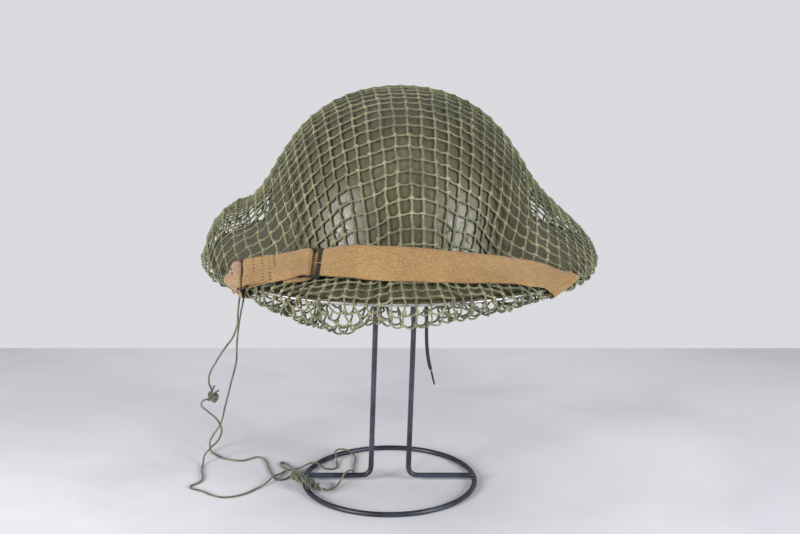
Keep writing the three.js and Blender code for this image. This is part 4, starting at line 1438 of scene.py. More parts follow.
knotPlaces, knotTurns, knotSizes = knotFrames()
knotPiece = addCopies("net_knots", knotLump(), knotPlaces, knotTurns, knotSizes, knotTwineHighlight)
print("knots tied:", len(knotPlaces))

# Draw cord through the net's hem.
hemCord = {
    "size": 0.0021,
    "drop": 0.0004,
    "step": 0.0015,
    "apart": 0.0035,  # knots nearer than this to the one before are passed by
}
rimKnots = np.flatnonzero(net.rim)
order = np.argsort(np.arctan2(net.y[rimKnots], net.x[rimKnots]))
hemPlaces = cloth.read(cloth.place, net.x[rimKnots], net.y[rimKnots])[order]
hemPlaces = hemPlaces - np.array([0, 0, hemCord["drop"]])
apart = np.linalg.norm(hemPlaces - np.roll(hemPlaces, 1, 0), axis=1)
hemPlaces = hemPlaces[apart > hemCord["apart"]]
hemLine = smoothRoute(np.vstack([hemPlaces, hemPlaces[:1]]), hemCord["step"])[:-1]
hemOptions = {"radius": hemCord["size"] / 2, "sides": 8, "lobes": 0.3, "closed": True}
hemPiece = addTubes("net_hem_cord", [(hemLine, hemOptions)], cordTwine)
print("hem drawn in")

# Chin strap: the long piece with its free end, the short piece and the tab, all of cotton webbing.
strapBuild = {
    "width": 0.025,
    "thick": 0.0015,
    "step": 0.0009,
    "across": 26,
    "selvedge": 0.00045,  # how far the picks stand out at the edges
    "pick": 0.0014,
    "ripple": 0.00022,
    "ripplePitch": (0.012, 0.05),
    "curl": 0.0003,
    "crease": 0.0006,  # of the tab
    "creasePitch": (0.006, 0.011),
    "rightwards": (1.0, 0, 0),
    "leftwards": (-1.0, 0, -0.35),
    "tailDrop": 0.0014,
    "tailBelow": 0.002,
    "tailReach": 0.42,  # share of the short piece that the tail lies under
    "duck": {"along": -0.0034, "out": -0.0016, "across": -0.0003},  # under the buckle's plate
    "emerge": {"along": -0.0012, "out": -0.0006},
    "tabStart": ({"along": 0.004, "out": -0.0012}, {"along": 0.001, "out": -0.0011}),
    "tabOver": {"along": 0.0012, "out": 0.0017},
    "shortUnder": {"along": -0.003, "out": -0.0006},
    "shortOver": {"along": -0.0012, "out": 0.0016},
    # how far back from the loop, and how far out
    "fold": ((0.0185, -0.0003), (0.0165, 0.0003), (0.013, 0.0012), (0.009, 0.0015), (0.003, 0.0019)),
    "rise": ((0.009, 0), (0.015, 0), (0.021, 0.0001), (0.027, 0.0005), (0.032, 0.0012)),
    # round a wire: how far ahead its middle lies, how far out, the turn's radius, its first and last angle
    "shortWrap": (0.0016, 0.0007, 0.0016, 90, -90),
    "tabWrap": (-0.0016, 0.0005, 0.0016, -90, -270),
    "barWrap": (0.0016, 0, 0.002, 100.8, -18),
    "barLift": (0.0002, 0.0009),  # at the foot and at the head
    "warpPitch": 0.00125,
    "weftPitch": 0.0011,
    "tan": color(165, 132, 86),
    "tanDeep": color(147, 115, 73),
    "tanPale": color(190, 157, 108),
    "tab": color(172, 145, 114),
    "tabDeep": color(146, 119, 90),
    "tabPale": color(196, 170, 138),
    "stain": color(120, 96, 92),
    "dirt": color(96, 74, 52),
    "threadDark": color(96, 70, 44),
    "threadPale": color(142, 112, 74),
}

# foot is the edge nearer the brim's edge, head the one nearer the crown
webRows = [
    ((-0.0538, -0.117, 0.1956), (-0.0513, -0.0968, 0.2098)),
    ((-0.033, -0.1216, 0.1954), (-0.0335, -0.1054, 0.2142)),
    ((-0.012, -0.1246, 0.1944), (-0.012, -0.1108, 0.215)),
    ((0.01, -0.1254, 0.1938), (0.01, -0.1114, 0.2144)),
    ((0.0335, -0.1248, 0.193), (0.034, -0.1076, 0.211)),
    ((0.056, -0.122, 0.1918), (0.0565, -0.1026, 0.2074)),
    ((0.078, -0.12, 0.1906), (0.0795, -0.0984, 0.2031)),
    ((0.093, -0.1194, 0.1889), (0.098, -0.095, 0.1987)),
    ((0.0988, -0.118, 0.1868), (0.1107, -0.095, 0.1936)),
    ((0.1026, -0.1166, 0.1834), (0.1198, -0.094, 0.1912)),
    ((0.1041, -0.116, 0.1814), (0.1235, -0.093, 0.1888)),
    ((0.1032, -0.1142, 0.1796), (0.1222, -0.0908, 0.186)),
    ((0.1012, -0.107, 0.1776), (0.116, -0.0866, 0.1806)),
]

shortRows = [
    ((-0.0651, -0.1174, 0.1948), (-0.0636, -0.0958, 0.2074)),
    ((-0.075, -0.1188, 0.1938), (-0.077, -0.0978, 0.2072)),
    ((-0.0888, -0.1196, 0.1914), (-0.0912, -0.0984, 0.2046)),
    ((-0.1018, -0.1182, 0.1882), (-0.104, -0.0966, 0.2012)),
]

tabRows = [
    ((-0.1096, -0.1162, 0.1856), (-0.1125, -0.0955, 0.1984)),
    ((-0.1086, -0.116, 0.1848), (-0.1177, -0.0945, 0.1931)),
    ((-0.1078, -0.1155, 0.1834), (-0.1215, -0.0926, 0.1872)),
    ((-0.107, -0.1136, 0.1806), (-0.1203, -0.09, 0.1836)),
    ((-0.1045, -0.107, 0.178), (-0.115, -0.0862, 0.1796)),
]

# under the brim and up to the right lug, the left one its mirror
lugRows = [
    ((0.098, -0.084, 0.1766), (0.113, -0.068, 0.1768)),
    ((0.094, -0.052, 0.1776), (0.118, -0.046, 0.1772)),
    ((0.089, -0.029, 0.182), (0.106, -0.0145, 0.1736)),
    ((0.0906, -0.017, 0.1904), (0.099, 0.006, 0.1876)),
    ((0.0966, -0.0126, 0.199), (0.0966, 0.0124, 0.199)),
    ((0.0949, -0.0125, 0.206), (0.0949, 0.0125, 0.206)),
]
webRows += lugRows
tabRows += [tuple((-x, y, z) for x, y, z in row) for row in lugRows]


def makeWebbing(name, deep, plain, pale, stained):
    look, tree, body = newLook(name)
    where = objectPlace(tree)
    layer = tree.nodes.new("ShaderNodeUVMap")
    layer.uv_map = "weave"
    onCloth = layer.outputs["UV"]
    along, across = axesOf(tree, onCloth)["X"], axesOf(tree, onCloth)["Y"]
    warp = calc(tree, "SINE", calc(tree, "MULTIPLY", across, 2 * math.pi / strapBuild["warpPitch"]))
    weft = calc(tree, "SINE", calc(tree, "MULTIPLY", along, 2 * math.pi / strapBuild["weftPitch"]))
    crossing = calc(tree, "MULTIPLY", calc(tree, "MULTIPLY", warp, weft), 0.6)
    weave = calc(tree, "MULTIPLY_ADD", warp, 0.55, crossing)
    threads = noise(tree, stretched(tree, onCloth, (260, 900, 1)), 1, 3, 0.6)
    broad = noise(tree, where, 24, 4, 0.6, 0.5)
    blot = noise(tree, where, 62, 5, 0.65, 0.8)
    fuzz = noise(tree, where, 850, 3, 0.7)
    shade = mixed(tree, between(tree, broad, 0.34, 0.66), deep, plain)
    shade = mixed(tree, between(tree, threads, 0.45, 0.75, 0, 0.55), shade, pale)
    # painted shade: the weave's hollows between the threads are darkened halfway to the deep tan
    shade = mixed(tree, between(tree, weave, -0.7, 0.1, 0.5, 0), shade, deep)
    spread = between(tree, broad, 0.4, 0.6)
    stain = calc(tree, "MULTIPLY", between(tree, blot, 0.52, 0.72, 0, stained), spread)
    shade = mixed(tree, stain, shade, strapBuild["stain"])
    middle = calc(tree, "ABSOLUTE", calc(tree, "SUBTRACT", across, strapBuild["width"] / 2))
    edge = between(tree, middle, strapBuild["width"] * 0.44, strapBuild["width"] * 0.5, 0, 0.45)
    soiled = calc(tree, "MULTIPLY", edge, between(tree, blot, 0.3, 0.6))
    shade = mixed(tree, soiled, shade, strapBuild["dirt"])
    shade = mixed(tree, between(tree, fuzz, 0.56, 0.68, 0, 0.7), shade, pale)
    shade = mixed(tree, between(tree, fuzz, 0.45, 0.34, 0, 0.6), shade, strapBuild["dirt"])
    body.inputs["Sheen Weight"].default_value = 0.2
    body.inputs["Sheen Roughness"].default_value = 0.55
    body.inputs["Specular IOR Level"].default_value = 0.2
    normal = raised(tree, fuzz, 0.00006, raised(tree, weave, 0.00014))
    finishLook(tree, body, shade, between(tree, fuzz, 0.3, 0.7, 0.85, 0.98), normal)
    return look


tanShades = [strapBuild[key] for key in ("tanDeep", "tan", "tanPale")]
tabShades = [strapBuild[key] for key in ("tabDeep", "tab", "tabPale")]
tanWebbing = makeWebbing("tanWebbing", *tanShades, 0.55)
tabWebbing = makeWebbing("paleWebbing", *tabShades, 0.4)


def makeThread():
    look, tree, body = newLook("strapThread")
    where = objectPlace(tree)
    fuzz = noise(tree, where, 1900, 3, 0.6)
    shade = mixed(tree, between(tree, fuzz, 0.35, 0.65), strapBuild["threadDark"], strapBuild["threadPale"])
    finishLook(tree, body, shade, between(tree, fuzz, 0.3, 0.7, 0.75, 0.95), raised(tree, fuzz, 0.00008))
    return look


# foot and head edges at even steps along the band's middle
def bandStations(rows):
    feet, heads = curveThrough([row[0] for row in rows]), curveThrough([row[1] for row in rows])
    far = farAlong((feet + heads) / 2)
    at = np.linspace(0, far[-1], int(far[-1] / strapBuild["step"]) + 1)
    return readLine(feet, far, at), readLine(heads, far, at), at


# a woven band along the rows, with toothed selvedges, ripples and cut ends
def addWebbing(name, rows, look, seed, crease=0.0):
    feet, heads, far = bandStations(rows)
    middle = (feet + heads) / 2
    along = unit(np.gradient(middle, axis=0))
    across = unit(heads - feet)
    normal = unit(np.cross(along, across))
    width = np.linalg.norm(heads - feet, axis=1)
    even = np.linspace(0, 1, strapBuild["across"] + 1)
    share = 0.6 * (0.5 - 0.5 * np.cos(np.pi * even)) + 0.4 * even  # closer together at the edges
    own = np.random.default_rng(seed)
    ripple = waves(own, 7, *strapBuild["ripplePitch"])
    teeth = np.abs(((far / strapBuild["pick"]) % 1) * 2 - 1) - 0.5
    teeth = teeth[:, None] * own.uniform(0.5, 1.4, (len(far), 2)) * strapBuild["selvedge"]
    f, s = np.meshgrid(far, share, indexing="ij")
    v = s * strapBuild["width"]
    body = np.sqrt(np.maximum(1 - np.abs(2 * s - 1) ** 12, 0.09))  # full across, thin at the edges
    bump = strapBuild["ripple"] * ripple(f, v)
    if crease:
        bump = bump + crease * waves(own, 5, *strapBuild["creasePitch"])(f, v * 0.25)
    curl = strapBuild["curl"] * np.maximum(np.abs(2 * s - 1) - 0.7, 0) * ripple(f * 0.6, s * 0)
    reach = s * width[:, None]
    reach = reach + teeth[:, 1:] * smoothStep(s, 0.9, 1) - teeth[:, :1] * smoothStep(s, 0.1, 0)
    place = feet[:, None] + across[:, None] * reach[..., None]
    place = place + normal[:, None] * (bump + curl)[..., None]
    half = normal[:, None] * (body * strapBuild["thick"] / 2)[..., None]
    rings = np.concatenate([place + half, (place - half)[:, ::-1]], axis=1)
    uv = np.stack([np.concatenate([f, f], 1), np.concatenate([v, v[:, ::-1]], 1)], -1)
    sides = rings.shape[1]
    faces = gridFaces(len(far), sides)
    for ring in (0, len(far) - 1):  # the cut ends
        base = ring * sides
        for k in range(strapBuild["across"]):
            quad = (base + k, base + k + 1, base + sides - 2 - k, base + sides - 1 - k)
            faces.append(quad if ring else quad[::-1])
    return addPiece(name, rings.reshape(-1, 3), faces, look, uv=uv.reshape(-1, 2))


# a row is the band's foot and head there, u may fall between two of them
def rowAt(rows, u):
    i = min(int(u), len(rows) - 2)
    return blend(rows[i][0], rows[i + 1][0], u - i), blend(rows[i][1], rows[i + 1][1], u - i)


# along, across and outward at a row of the strap
def frameAt(row, ahead):
    ahead = np.asarray(ahead, float)
    across = unit(row[1] - row[0])
    along = unit(ahead - across * (ahead @ across))
    outward = np.cross(along, across)
    if outward @ np.array([0, -1, 1]) < 0:
        outward = -outward
    return along, across, outward


def shifted(row, frame, along=0.0, out=0.0, across=0.0):
    move = frame[0] * along + frame[1] * across + frame[2] * out
    return row[0] + move, row[1] + move


# the free end, back from the buckle under the short piece
def tailRows():
    made = []
    for share in (1, 0.5, 0):
        row = rowAt(shortRows, share * strapBuild["tailReach"] * (len(shortRows) - 1))
        frame = frameAt(row, strapBuild["rightwards"])
        made.append(shifted(row, frame, out=-strapBuild["tailBelow"], across=-strapBuild["tailDrop"]))
    return made


def longPieceRows():
    first = rowAt(webRows, 0)
    frame = frameAt(first, strapBuild["rightwards"])
    through = [shifted(first, frame, **strapBuild[key]) for key in ("duck", "emerge")]
    return tailRows() + through + [rowAt(webRows, i) for i in range(len(webRows))]


# rows round a wire
def wrapRows(row, frame, wrap, steps=5):
    ahead, out, radius, first, last = wrap
    made = []
    for angle in np.radians(np.linspace(first, last, steps)):
        along = ahead + radius * math.cos(angle)
        made.append(shifted(row, frame, along=along, out=out + radius * math.sin(angle)))
    return made


# the short piece's row this far from its loop end, lying on the way the cloth really runs
def shortRowBack(back):
    feet, heads = curveThrough([row[0] for row in shortRows]), curveThrough([row[1] for row in shortRows])
    middle = (feet + heads) / 2
    far = farAlong(middle)
    at = far[-1] - back
    row = [np.array([np.interp(at, far, line[:, k]) for k in range(3)]) for line in (feet, heads)]
    ahead = middle[min(int(np.searchsorted(far, at)) + 2, len(middle) - 1)] - (row[0] + row[1]) / 2
    return row, frameAt(row, ahead)


# rows back from the loop, each a little out of the short piece's own way
def liftedRows(lifts):
    made = []
    for back, out in lifts:
        row, frame = shortRowBack(back)
        made.append(shifted(row, frame, out=out))
    return made


# from the end of the sewn fold, round the loop, and back to the buckle's bar
def shortPieceRows():
    last = rowAt(shortRows, len(shortRows) - 1)
    frame = frameAt(last, np.subtract(shortRows[-1][0], shortRows[-2][0]))
    rows = liftedRows(strapBuild["fold"]) + wrapRows(last, frame, strapBuild["shortWrap"])
    rows.append(shifted(last, frame, **strapBuild["shortUnder"]))
    rows += liftedRows(strapBuild["rise"])
    start = rowAt(shortRows, 0)
    frame = frameAt(start, strapBuild["rightwards"])
    start = [edge + frame[2] * lift for edge, lift in zip(start, strapBuild["barLift"])]
    rows.append(shifted(start, frame, **strapBuild["shortOver"]))
    return rows + wrapRows(start, frame, strapBuild["barWrap"], steps=4)


# out of its own fold, round the loop's far side, over the brim and up to the lug
def tabPieceRows():
    first = rowAt(tabRows, 0)
    frame = frameAt(first, strapBuild["leftwards"])
    rows = [shifted(first, frame, **move) for move in strapBuild["tabStart"]]
    rows += wrapRows(first, frame, strapBuild["tabWrap"])
    rows.append(shifted(first, frame, **strapBuild["tabOver"]))
    return rows + [rowAt(tabRows, i) for i in range(1, len(tabRows))]


longPiece = addWebbing("strap_long_webbing", longPieceRows(), tanWebbing, 21)
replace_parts(longPiece, "chin_strap_web", "chin_strap_tail")
shortPiece = addWebbing("strap_short_webbing", shortPieceRows(), tanWebbing, 22)
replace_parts(shortPiece, "chin_strap_short")
tabPiece = addWebbing("strap_tab_webbing", tabPieceRows(), tabWebbing, 23, strapBuild["crease"])
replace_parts(tabPiece, "chin_strap_tab")
print("strap laid")

# Stitches through the short piece's fold, and three loose ones on the tab.
stitchBuild = {
    "rows": (0.0046, 0.0108, 0.0152),  # back from the loop end
    "count": 8,
    "length": 0.0015,
    "thick": 0.001,
    "margin": 0.0016,
    "tab": ((0.45, 0.8), (0.6, 0.68), (0.5, 0.62)),  # along the tab and up it
    "tabOut": 0.0021,
    "tabSlant": (-0.6, 0.8),
}


# one stitch, along X
def stitchLump():
    points = []
    spots = ((-0.5, 0.02), (-0.36, 0.36), (0, 0.5), (0.36, 0.36), (0.5, 0.02))
    for x, r in spots:
        for s in range(6):
            angle = math.pi * s / 3
            points.append((x, r * math.cos(angle), r * math.sin(angle)))
    lump = bareMesh("stitchLump", points, faces=gridFaces(len(spots), 6, capped=True))
    turnOutward(lump.data)
    return lump


# every stitch's middle, the way it runs and the way it faces
def stitchSpots():
    places, along, outward = [], [], []
    foldBack, foldOut = zip(*strapBuild["fold"][::-1])
    for back in stitchBuild["rows"]:
        row, frame = shortRowBack(back)
        out = np.interp(back, foldBack, foldOut)
        row = shifted(row, frame, out=out + strapBuild["thick"] / 2)
        reach = unit(row[1] - row[0])
        low, high = row[0] + reach * stitchBuild["margin"], row[1] - reach * stitchBuild["margin"]
        for t in np.linspace(0, 1, stitchBuild["count"]):
            places.append(blend(low, high, t))
            along.append(reach)
            outward.append(frame[2])
    first = rowAt(tabRows, 0)
    frame = frameAt(first, strapBuild["leftwards"])
    first = shifted(first, frame, **strapBuild["tabOver"])
    ahead, up = stitchBuild["tabSlant"]
    for share, t in stitchBuild["tab"]:
        row = blend(first[0], tabRows[1][0], share), blend(first[1], tabRows[1][1], share)
        places.append(blend(row[0], row[1], t) + frame[2] * stitchBuild["tabOut"])
        along.append(unit(frame[0] * ahead + frame[1] * up))
        outward.append(unit(np.cross(along[-1], np.cross(frame[2], along[-1]))))
    return np.array(places), np.array(along), np.array(outward)


stitchPlaces, stitchAlong, stitchOut = stitchSpots()
stitchSide = np.cross(stitchOut, stitchAlong)
stitchSizes = np.array([stitchBuild["length"], stitchBuild["thick"], stitchBuild["thick"]])
stitchSizes = stitchSizes * dice.uniform(0.9, 1.1, (len(stitchPlaces), 1))
stitchTurns = turnsOf(stitchAlong, stitchSide, stitchOut)
addCopies(
    "strap_stitches", stitchLump(), stitchPlaces, stitchTurns, stitchSizes, makeThread()
)
print("stitches sewn")

# Buckle, loop, lugs, rivets and stud.
metalBuild = {
    "dark": color(48, 44, 42),
    "brown": color(74, 58, 48),
    "bare": color(120, 112, 104),
    "dust": color(150, 140, 124),
    "bevel": 0.00042,
}
buckleBuild = {
    "thick": 0.0016,
    "margin": 0.0009,  # past the webbing on either side
    "back": -0.0044,
    "front": 0.0062,
    "bar": 0.0018,
    "slot": 0.0052,
    "plate": 0.0028,
    "gap": (-0.0006, 0.0012),  # between the plate's two arms
    "rest": ((-0.06015, -0.1179, 0.1958), (-0.0581, -0.097, 0.209), (1, 0, 0)),  # foot, head, ahead
}
loopBuild = {
    "wire": 0.0018,
    "half": 0.0037,
    "margin": 0.0012,
    "corner": 0.0016,
    "step": 0.0005,
    "rest": ((-0.1062, -0.1172, 0.1868), (-0.1086, -0.0957, 0.2), (1, 0, 0.3)),
    "out": 0.0006,
}


def makeDarkMetal():
    look, tree, body = newLook("blackenedMetal")
    where = objectPlace(tree)
    worn = noise(tree, where, 150, 5, 0.62, 0.4)
    spot = noise(tree, where, 620, 4, 0.6)
    shade = mixed(tree, between(tree, worn, 0.42, 0.62), metalBuild["dark"], metalBuild["brown"])
    shade = mixed(tree, between(tree, spot, 0.6, 0.72, 0, 0.7), shade, metalBuild["bare"])
    shade = mixed(tree, between(tree, spot, 0.42, 0.3, 0, 0.35), shade, metalBuild["dust"])
    tree.links.new(between(tree, spot, 0.55, 0.7, 0.35, 0.85), body.inputs["Metallic"])
    finishLook(tree, body, shade, between(tree, worn, 0.3, 0.7, 0.35, 0.6), raised(tree, spot, 0.00007))
    return look


darkMetal = makeDarkMetal()


# a flat part's own axes on the strap, ahead, foot to head and outward, and its middle
def strapFrame(foot, head, ahead, out=0.0):
    y = unit(np.subtract(head, foot))
    x = np.asarray(ahead, float)
    x = unit(x - y * (x @ y))
    z = np.cross(x, y)
    return np.array([x, y, z]), (np.add(foot, head) / 2 + z * out)


# a flat outline given its thickness, with its edges rounded; frame is its axes and its middle
def addPlate(name, outline, thick, frame, look, bevel):
    work = bmesh.new()
    corners = [work.verts.new((x, y, -thick / 2)) for x, y in outline]
    face = work.faces.new(corners)
    made = bmesh.ops.extrude_face_region(work, geom=[face])
    lifted = [v for v in made["geom"] if isinstance(v, bmesh.types.BMVert)]
    bmesh.ops.translate(work, verts=lifted, vec=(0, 0, thick))
    bmesh.ops.recalc_face_normals(work, faces=work.faces)
    bmesh.ops.bevel(
        work, geom=list(work.edges), offset=bevel, segments=3, profile=0.6,
        affect="EDGES", clamp_overlap=True,
    )
    mesh = bpy.data.meshes.new(name)
    work.to_mesh(mesh)
    work.free()
    axes, middle = frame
    for v in mesh.vertices:
        v.co = Vector(np.array(v.co) @ axes + middle)
    turnOutward(mesh)
    mesh.shade_smooth()
    piece = linked(name, mesh)
    finishPiece(piece, look)
    return piece


# a frame with a back bar, and a plate in two arms that reach in from its sides
def buckleOutline():
    b = buckleBuild
    end = strapBuild["width"] / 2 + b["margin"]
    side = end - b["bar"]
    barFront = b["back"] + b["bar"]
    plateBack = barFront + b["slot"]
    plateFront = plateBack + b["plate"]
    low, high = b["gap"]
    return [
        (b["back"], -end), (b["front"], -end), (b["front"], -side), (plateFront, -side),
        (plateFront, low), (plateBack, low), (plateBack, -side), (barFront, -side),
        (barFront, side), (plateBack, side), (plateBack, high), (plateFront, high),
        (plateFront, side), (b["front"], side), (b["front"], end), (b["back"], end),
    ]


bucklePiece = addPlate(
    "strap_buckle_frame", buckleOutline(), buckleBuild["thick"], strapFrame(*buckleBuild["rest"]),
    darkMetal, metalBuild["bevel"],
)
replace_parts(bucklePiece, "strap_buckle")


# the wire loop's line, once round
def wireLoopLine():
    half = loopBuild["wire"] / 2
    x = loopBuild["half"] - half
    y = strapBuild["width"] / 2 + loopBuild["margin"] - half
    corners = np.array([[0, -y], [x, -y], [x, y], [-x, y], [-x, -y], [0, -y]], float)
    flat = roundedCorner(corners, loopBuild["corner"], 5)[:-1]
    axes, middle = strapFrame(*loopBuild["rest"], out=loopBuild["out"])
    line = np.column_stack([flat, 0 * flat[:, 0]]) @ axes + middle
    return evenSteps(np.vstack([line, line[:1]]), loopBuild["step"])[:-1]


loopOptions = {"radius": loopBuild["wire"] / 2, "sides": 14, "closed": True}
loopPiece = addTubes("strap_wire_loop", [(wireLoopLine(), loopOptions)], darkMetal)
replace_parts(loopPiece, "strap_loop")

lugBuild = {
    "thick": 0.0016,
    "long": 0.022,
    "high": 0.012,
    "x": 0.0977,
    "z": 0.204,
    "tilt": 14,  # degrees, as the bowl's side leans
    "round": 0.003,
    "bevel": 0.0003,
}
rivetBuild = {
    "radius": 0.0031,
    "high": 0.0012,
    "skirt": 0.0004,
    "x": 0.0946,
    "z": 0.2028,
    "sides": 24,
}


def lugFrame(side):
    tilt = math.radians(lugBuild["tilt"])
    out = np.array([side * math.cos(tilt), 0, math.sin(tilt)])
    along = np.array([0, float(side), 0])
    up = np.cross(out, along)
    return np.array([along, up, out]), np.array([side * lugBuild["x"], 0, lugBuild["z"]])


# a rivet's or a stud's head: a low dome on a skirt, its back closed
def addDome(name, radius, high, skirt, middle, axis):
    axis = unit(axis)
    side = unit(np.cross(axis, (0.3, 1, 0.2)))
    rise = np.cross(axis, side)
    rings = [(0.0, -skirt), (0.92, -skirt), (1.0, -skirt * 0.4), (1.0, 0.0)]
    rings += [(math.cos(t), math.sin(t)) for t in np.linspace(0.12, math.pi / 2, 8)]
    sides = rivetBuild["sides"]
    angle = np.linspace(0, 2 * np.pi, sides, endpoint=False)
    points = []
    for reach, lift in rings:
        lift = lift * high if lift > 0 else lift
        spin = side * np.cos(angle)[:, None] + rise * np.sin(angle)[:, None]
        points.append(np.array(middle) + axis * lift + spin * (reach * radius + 1e-7))
    faces = gridFaces(len(rings), sides, capped=True)
    return addPiece(name, np.concatenate(points), faces, darkMetal, weld=True)


for sideName, side in (("right", 1), ("left", -1)):
    long, high = lugBuild["long"] / 2, lugBuild["high"] / 2
    corners = np.array([(0, -high), (long, -high), (long, high), (-long, high), (-long, -high), (0, -high)])
    outline = [tuple(p) for p in roundedCorner(corners, lugBuild["round"], 5)[:-1]]
    lugPiece = addPlate(
        "strap_lug_plate_" + sideName, outline, lugBuild["thick"], lugFrame(side),
        shellPaint, lugBuild["bevel"],
    )
    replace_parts(lugPiece, "strap_lug_" + sideName)
    rivetAt = (side * rivetBuild["x"], 0, rivetBuild["z"])
    addDome(
        "strap_rivet_" + sideName, rivetBuild["radius"], rivetBuild["high"], rivetBuild["skirt"],
        rivetAt, (-side, 0, -0.1),
    )

studBuild = {
    "radius": 0.0032,
    "high": 0.003,
    "gap": 0.0005,  # between the head and the lace's end
}
halfStud = studBuild["high"] / 2
studAt = (laceRoute[0][0], laceRoute[0][1], laceRoute[0][2] + studBuild["gap"] + halfStud)
studPiece = addDome("lace_stud_head", studBuild["radius"], halfStud, halfStud, studAt, (0, 0, -1))
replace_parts(studPiece, "lace_stud")
print("metal fitted")

# Wire stand.
standBuild = {
    "wire": 0.004,
    "x": -0.0082,
    "y": -0.007,
    "baseRadius": 0.066,
    "spacing": 0.029,
    "lean": 0.034,  # to the right, by height
    "bend": 0.008,
    "topRadius": 0.057,
    "topHeight": 0.2806,
    "sink": 0.0005,  # of one wire into another at their welds
    "past": 0.0004,
    "sides": 20,
    "step": 0.002,
    "beadHalf": 0.0032,
    "beadRadius": 0.0016,
    "beadDrop": 0.0002,
    "paint": color(30, 34, 44),
    "sheenBlue": color(52, 58, 72),
    "rub": color(96, 98, 104),
}


def makeStandPaint():
    look, tree, body = newLook("standEnamel")
    where = objectPlace(tree)
    broad = noise(tree, where, 40, 4, 0.6)
    fine = noise(tree, where, 520, 4, 0.6)
    shade = mixed(tree, between(tree, broad, 0.38, 0.62), standBuild["paint"], standBuild["sheenBlue"])
    chip = calc(tree, "MULTIPLY", between(tree, fine, 0.62, 0.70), between(tree, broad, 0.48, 0.6))
    shade = mixed(tree, chip, shade, standBuild["rub"])
    finishLook(tree, body, shade, between(tree, fine, 0.3, 0.7, 0.32, 0.48), raised(tree, fine, 0.00005))
    return look


def ringLine(radius, height, x, count=128):
    angle = np.linspace(0, 2 * np.pi, count, endpoint=False)
    return np.stack([
        x + radius * np.cos(angle), standBuild["y"] + radius * np.sin(angle), height + 0 * angle,
    ], -1)


# out from the base ring, up, and out again to the top ring
def bentWire(side):
    b = standBuild
    baseZ = 1.5 * b["wire"] - b["sink"]
    topZ = b["topHeight"] - b["wire"] + b["sink"]
    topX = b["x"] + b["lean"] * (topZ - baseZ)
    corners = np.array([
        (b["x"] + side * (b["baseRadius"] + b["past"]), b["y"], baseZ),
        (b["x"] + side * b["spacing"] / 2, b["y"], baseZ),
        (topX + side * b["spacing"] / 2, b["y"], topZ),
        (topX + side * (b["topRadius"] + b["past"]), b["y"], topZ),
    ])
    return evenSteps(roundedCorner(corners, b["bend"], 10), b["step"])


# a ring on the table and one under the crown, two bent wires, and the weld beads between them
def makeStand():
    b = standBuild
    options = {"radius": b["wire"] / 2, "sides": b["sides"]}
    topX = b["x"] + b["lean"] * (b["topHeight"] - b["wire"] / 2)
    tubes = [
        (ringLine(b["baseRadius"], b["wire"] / 2, b["x"]), {**options, "closed": True}),
        (ringLine(b["topRadius"], b["topHeight"], topX), {**options, "closed": True}),
        (bentWire(-1), options),
        (bentWire(1), options),
    ]
    beadGirth = b["beadRadius"] * np.sqrt(1 - np.linspace(-0.95, 0.95, 9) ** 2)
    for side in (-1, 1):
        for x, z in (
            (b["x"] + side * b["baseRadius"], b["wire"] - b["beadDrop"]),
            (topX + side * b["topRadius"], b["topHeight"] - b["wire"] / 2),
        ):
            line = np.array([(x, b["y"] + t, z) for t in np.linspace(-b["beadHalf"], b["beadHalf"], 9)])
            tubes.append((line, {"radius": beadGirth, "sides": 12, "roundEnds": False}))
    return addTubes("display_stand", tubes, makeStandPaint())


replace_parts(makeStand(), "wire_stand")
print("stand bent")

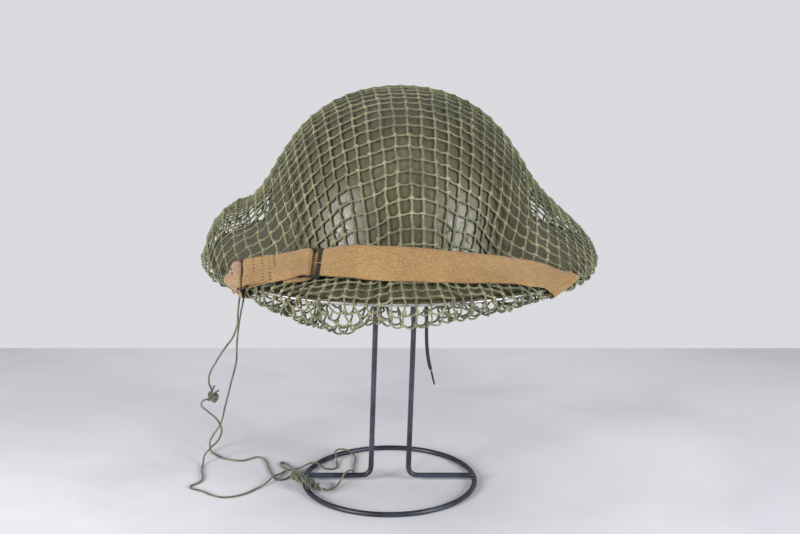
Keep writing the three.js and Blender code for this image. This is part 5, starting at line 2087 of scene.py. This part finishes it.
# Table, light and air around it.
studio = {
    "table": color(240, 239, 245),
    # painted shade of the cloth's folds
    "tableFoldShade": color(226, 226, 233),
    "air": (0.70, 0.70, 0.735, 1),
    "paleSide": (0.42, 0.42, 0.45, 1),
    "dimSide": (0.045, 0.045, 0.05, 1),
    "tableLeft": -1.6,
    "tableRight": 1.6,
    "tableNear": -0.95,
    "tableFar": 0.33,
    "lampsAim": (0, 0, 0.22),
    # place, size, power, tint
    "lamps": {
        "softboxLeft": ((-1.2, -1.0, 0.56), (0.6, 0.6), 26, (1, 0.985, 0.97)),
        "softboxRight": ((1.2, -1.0, 0.56), (0.6, 0.6), 22, (0.98, 0.985, 1)),
        "softboxTop": ((0, -0.7, 1.7), (1.2, 0.7), 5, (1, 0.99, 0.98)),
    },
}


def makeTable():
    look, tree, body = newLook("tableCloth")
    where = objectPlace(tree)
    soft = noise(tree, where, 5, 3, 0.5, 0.3)
    thread = noise(tree, where, 900, 2, 0.5)
    # painted shade: soft cloudy patches of the cloth are darker, as the shade of folds
    shade = mixed(tree, between(tree, soft, 0.35, 0.65), studio["table"], studio["tableFoldShade"])
    normal = raised(tree, soft, 0.006, raised(tree, thread, 0.0001))
    finishLook(tree, body, shade, between(tree, thread, 0.3, 0.7, 0.85, 0.95), normal)
    mesh = bpy.data.meshes.new("table_top")
    x0, x1, y0, y1 = (studio[key] for key in ("tableLeft", "tableRight", "tableNear", "tableFar"))
    mesh.from_pydata([(x0, y0, 0), (x1, y0, 0), (x1, y1, 0), (x0, y1, 0)], [], [(0, 1, 2, 3)])
    mesh.materials.append(look)
    linked("table_top", mesh)


def addSoftbox(name, place, size, power, tint):
    lamp = bpy.data.lights.new(name, "AREA")
    lamp.shape = "RECTANGLE"
    lamp.size, lamp.size_y = size
    lamp.energy = power
    lamp.color = tint
    box = linked(name, lamp)
    box.location = place
    aim = Vector(studio["lampsAim"]) - Vector(place)
    box.rotation_euler = aim.to_track_quat("-Z", "Y").to_euler()


# pale behind the helmet, and less light from the camera's side of the room
def makeAir():
    air = bpy.data.worlds.new("studioAir")
    air.use_nodes = True
    tree = air.node_tree
    back = tree.nodes["Background"]
    where = tree.nodes.new("ShaderNodeTexCoord").outputs["Generated"]
    towardsBack = between(tree, axesOf(tree, where)["Y"], -0.7, 0.8)
    room = mixed(tree, towardsBack, studio["dimSide"], studio["paleSide"])
    seen = tree.nodes.new("ShaderNodeLightPath").outputs["Is Camera Ray"]
    tree.links.new(mixed(tree, seen, room, studio["air"]), back.inputs["Color"])
    bpy.context.scene.world = air


makeTable()
for lampName, lampSettings in studio["lamps"].items():
    addSoftbox(lampName, *lampSettings)
makeAir()
bpy.context.scene.view_settings.view_transform = "Standard"
print("studio lit")
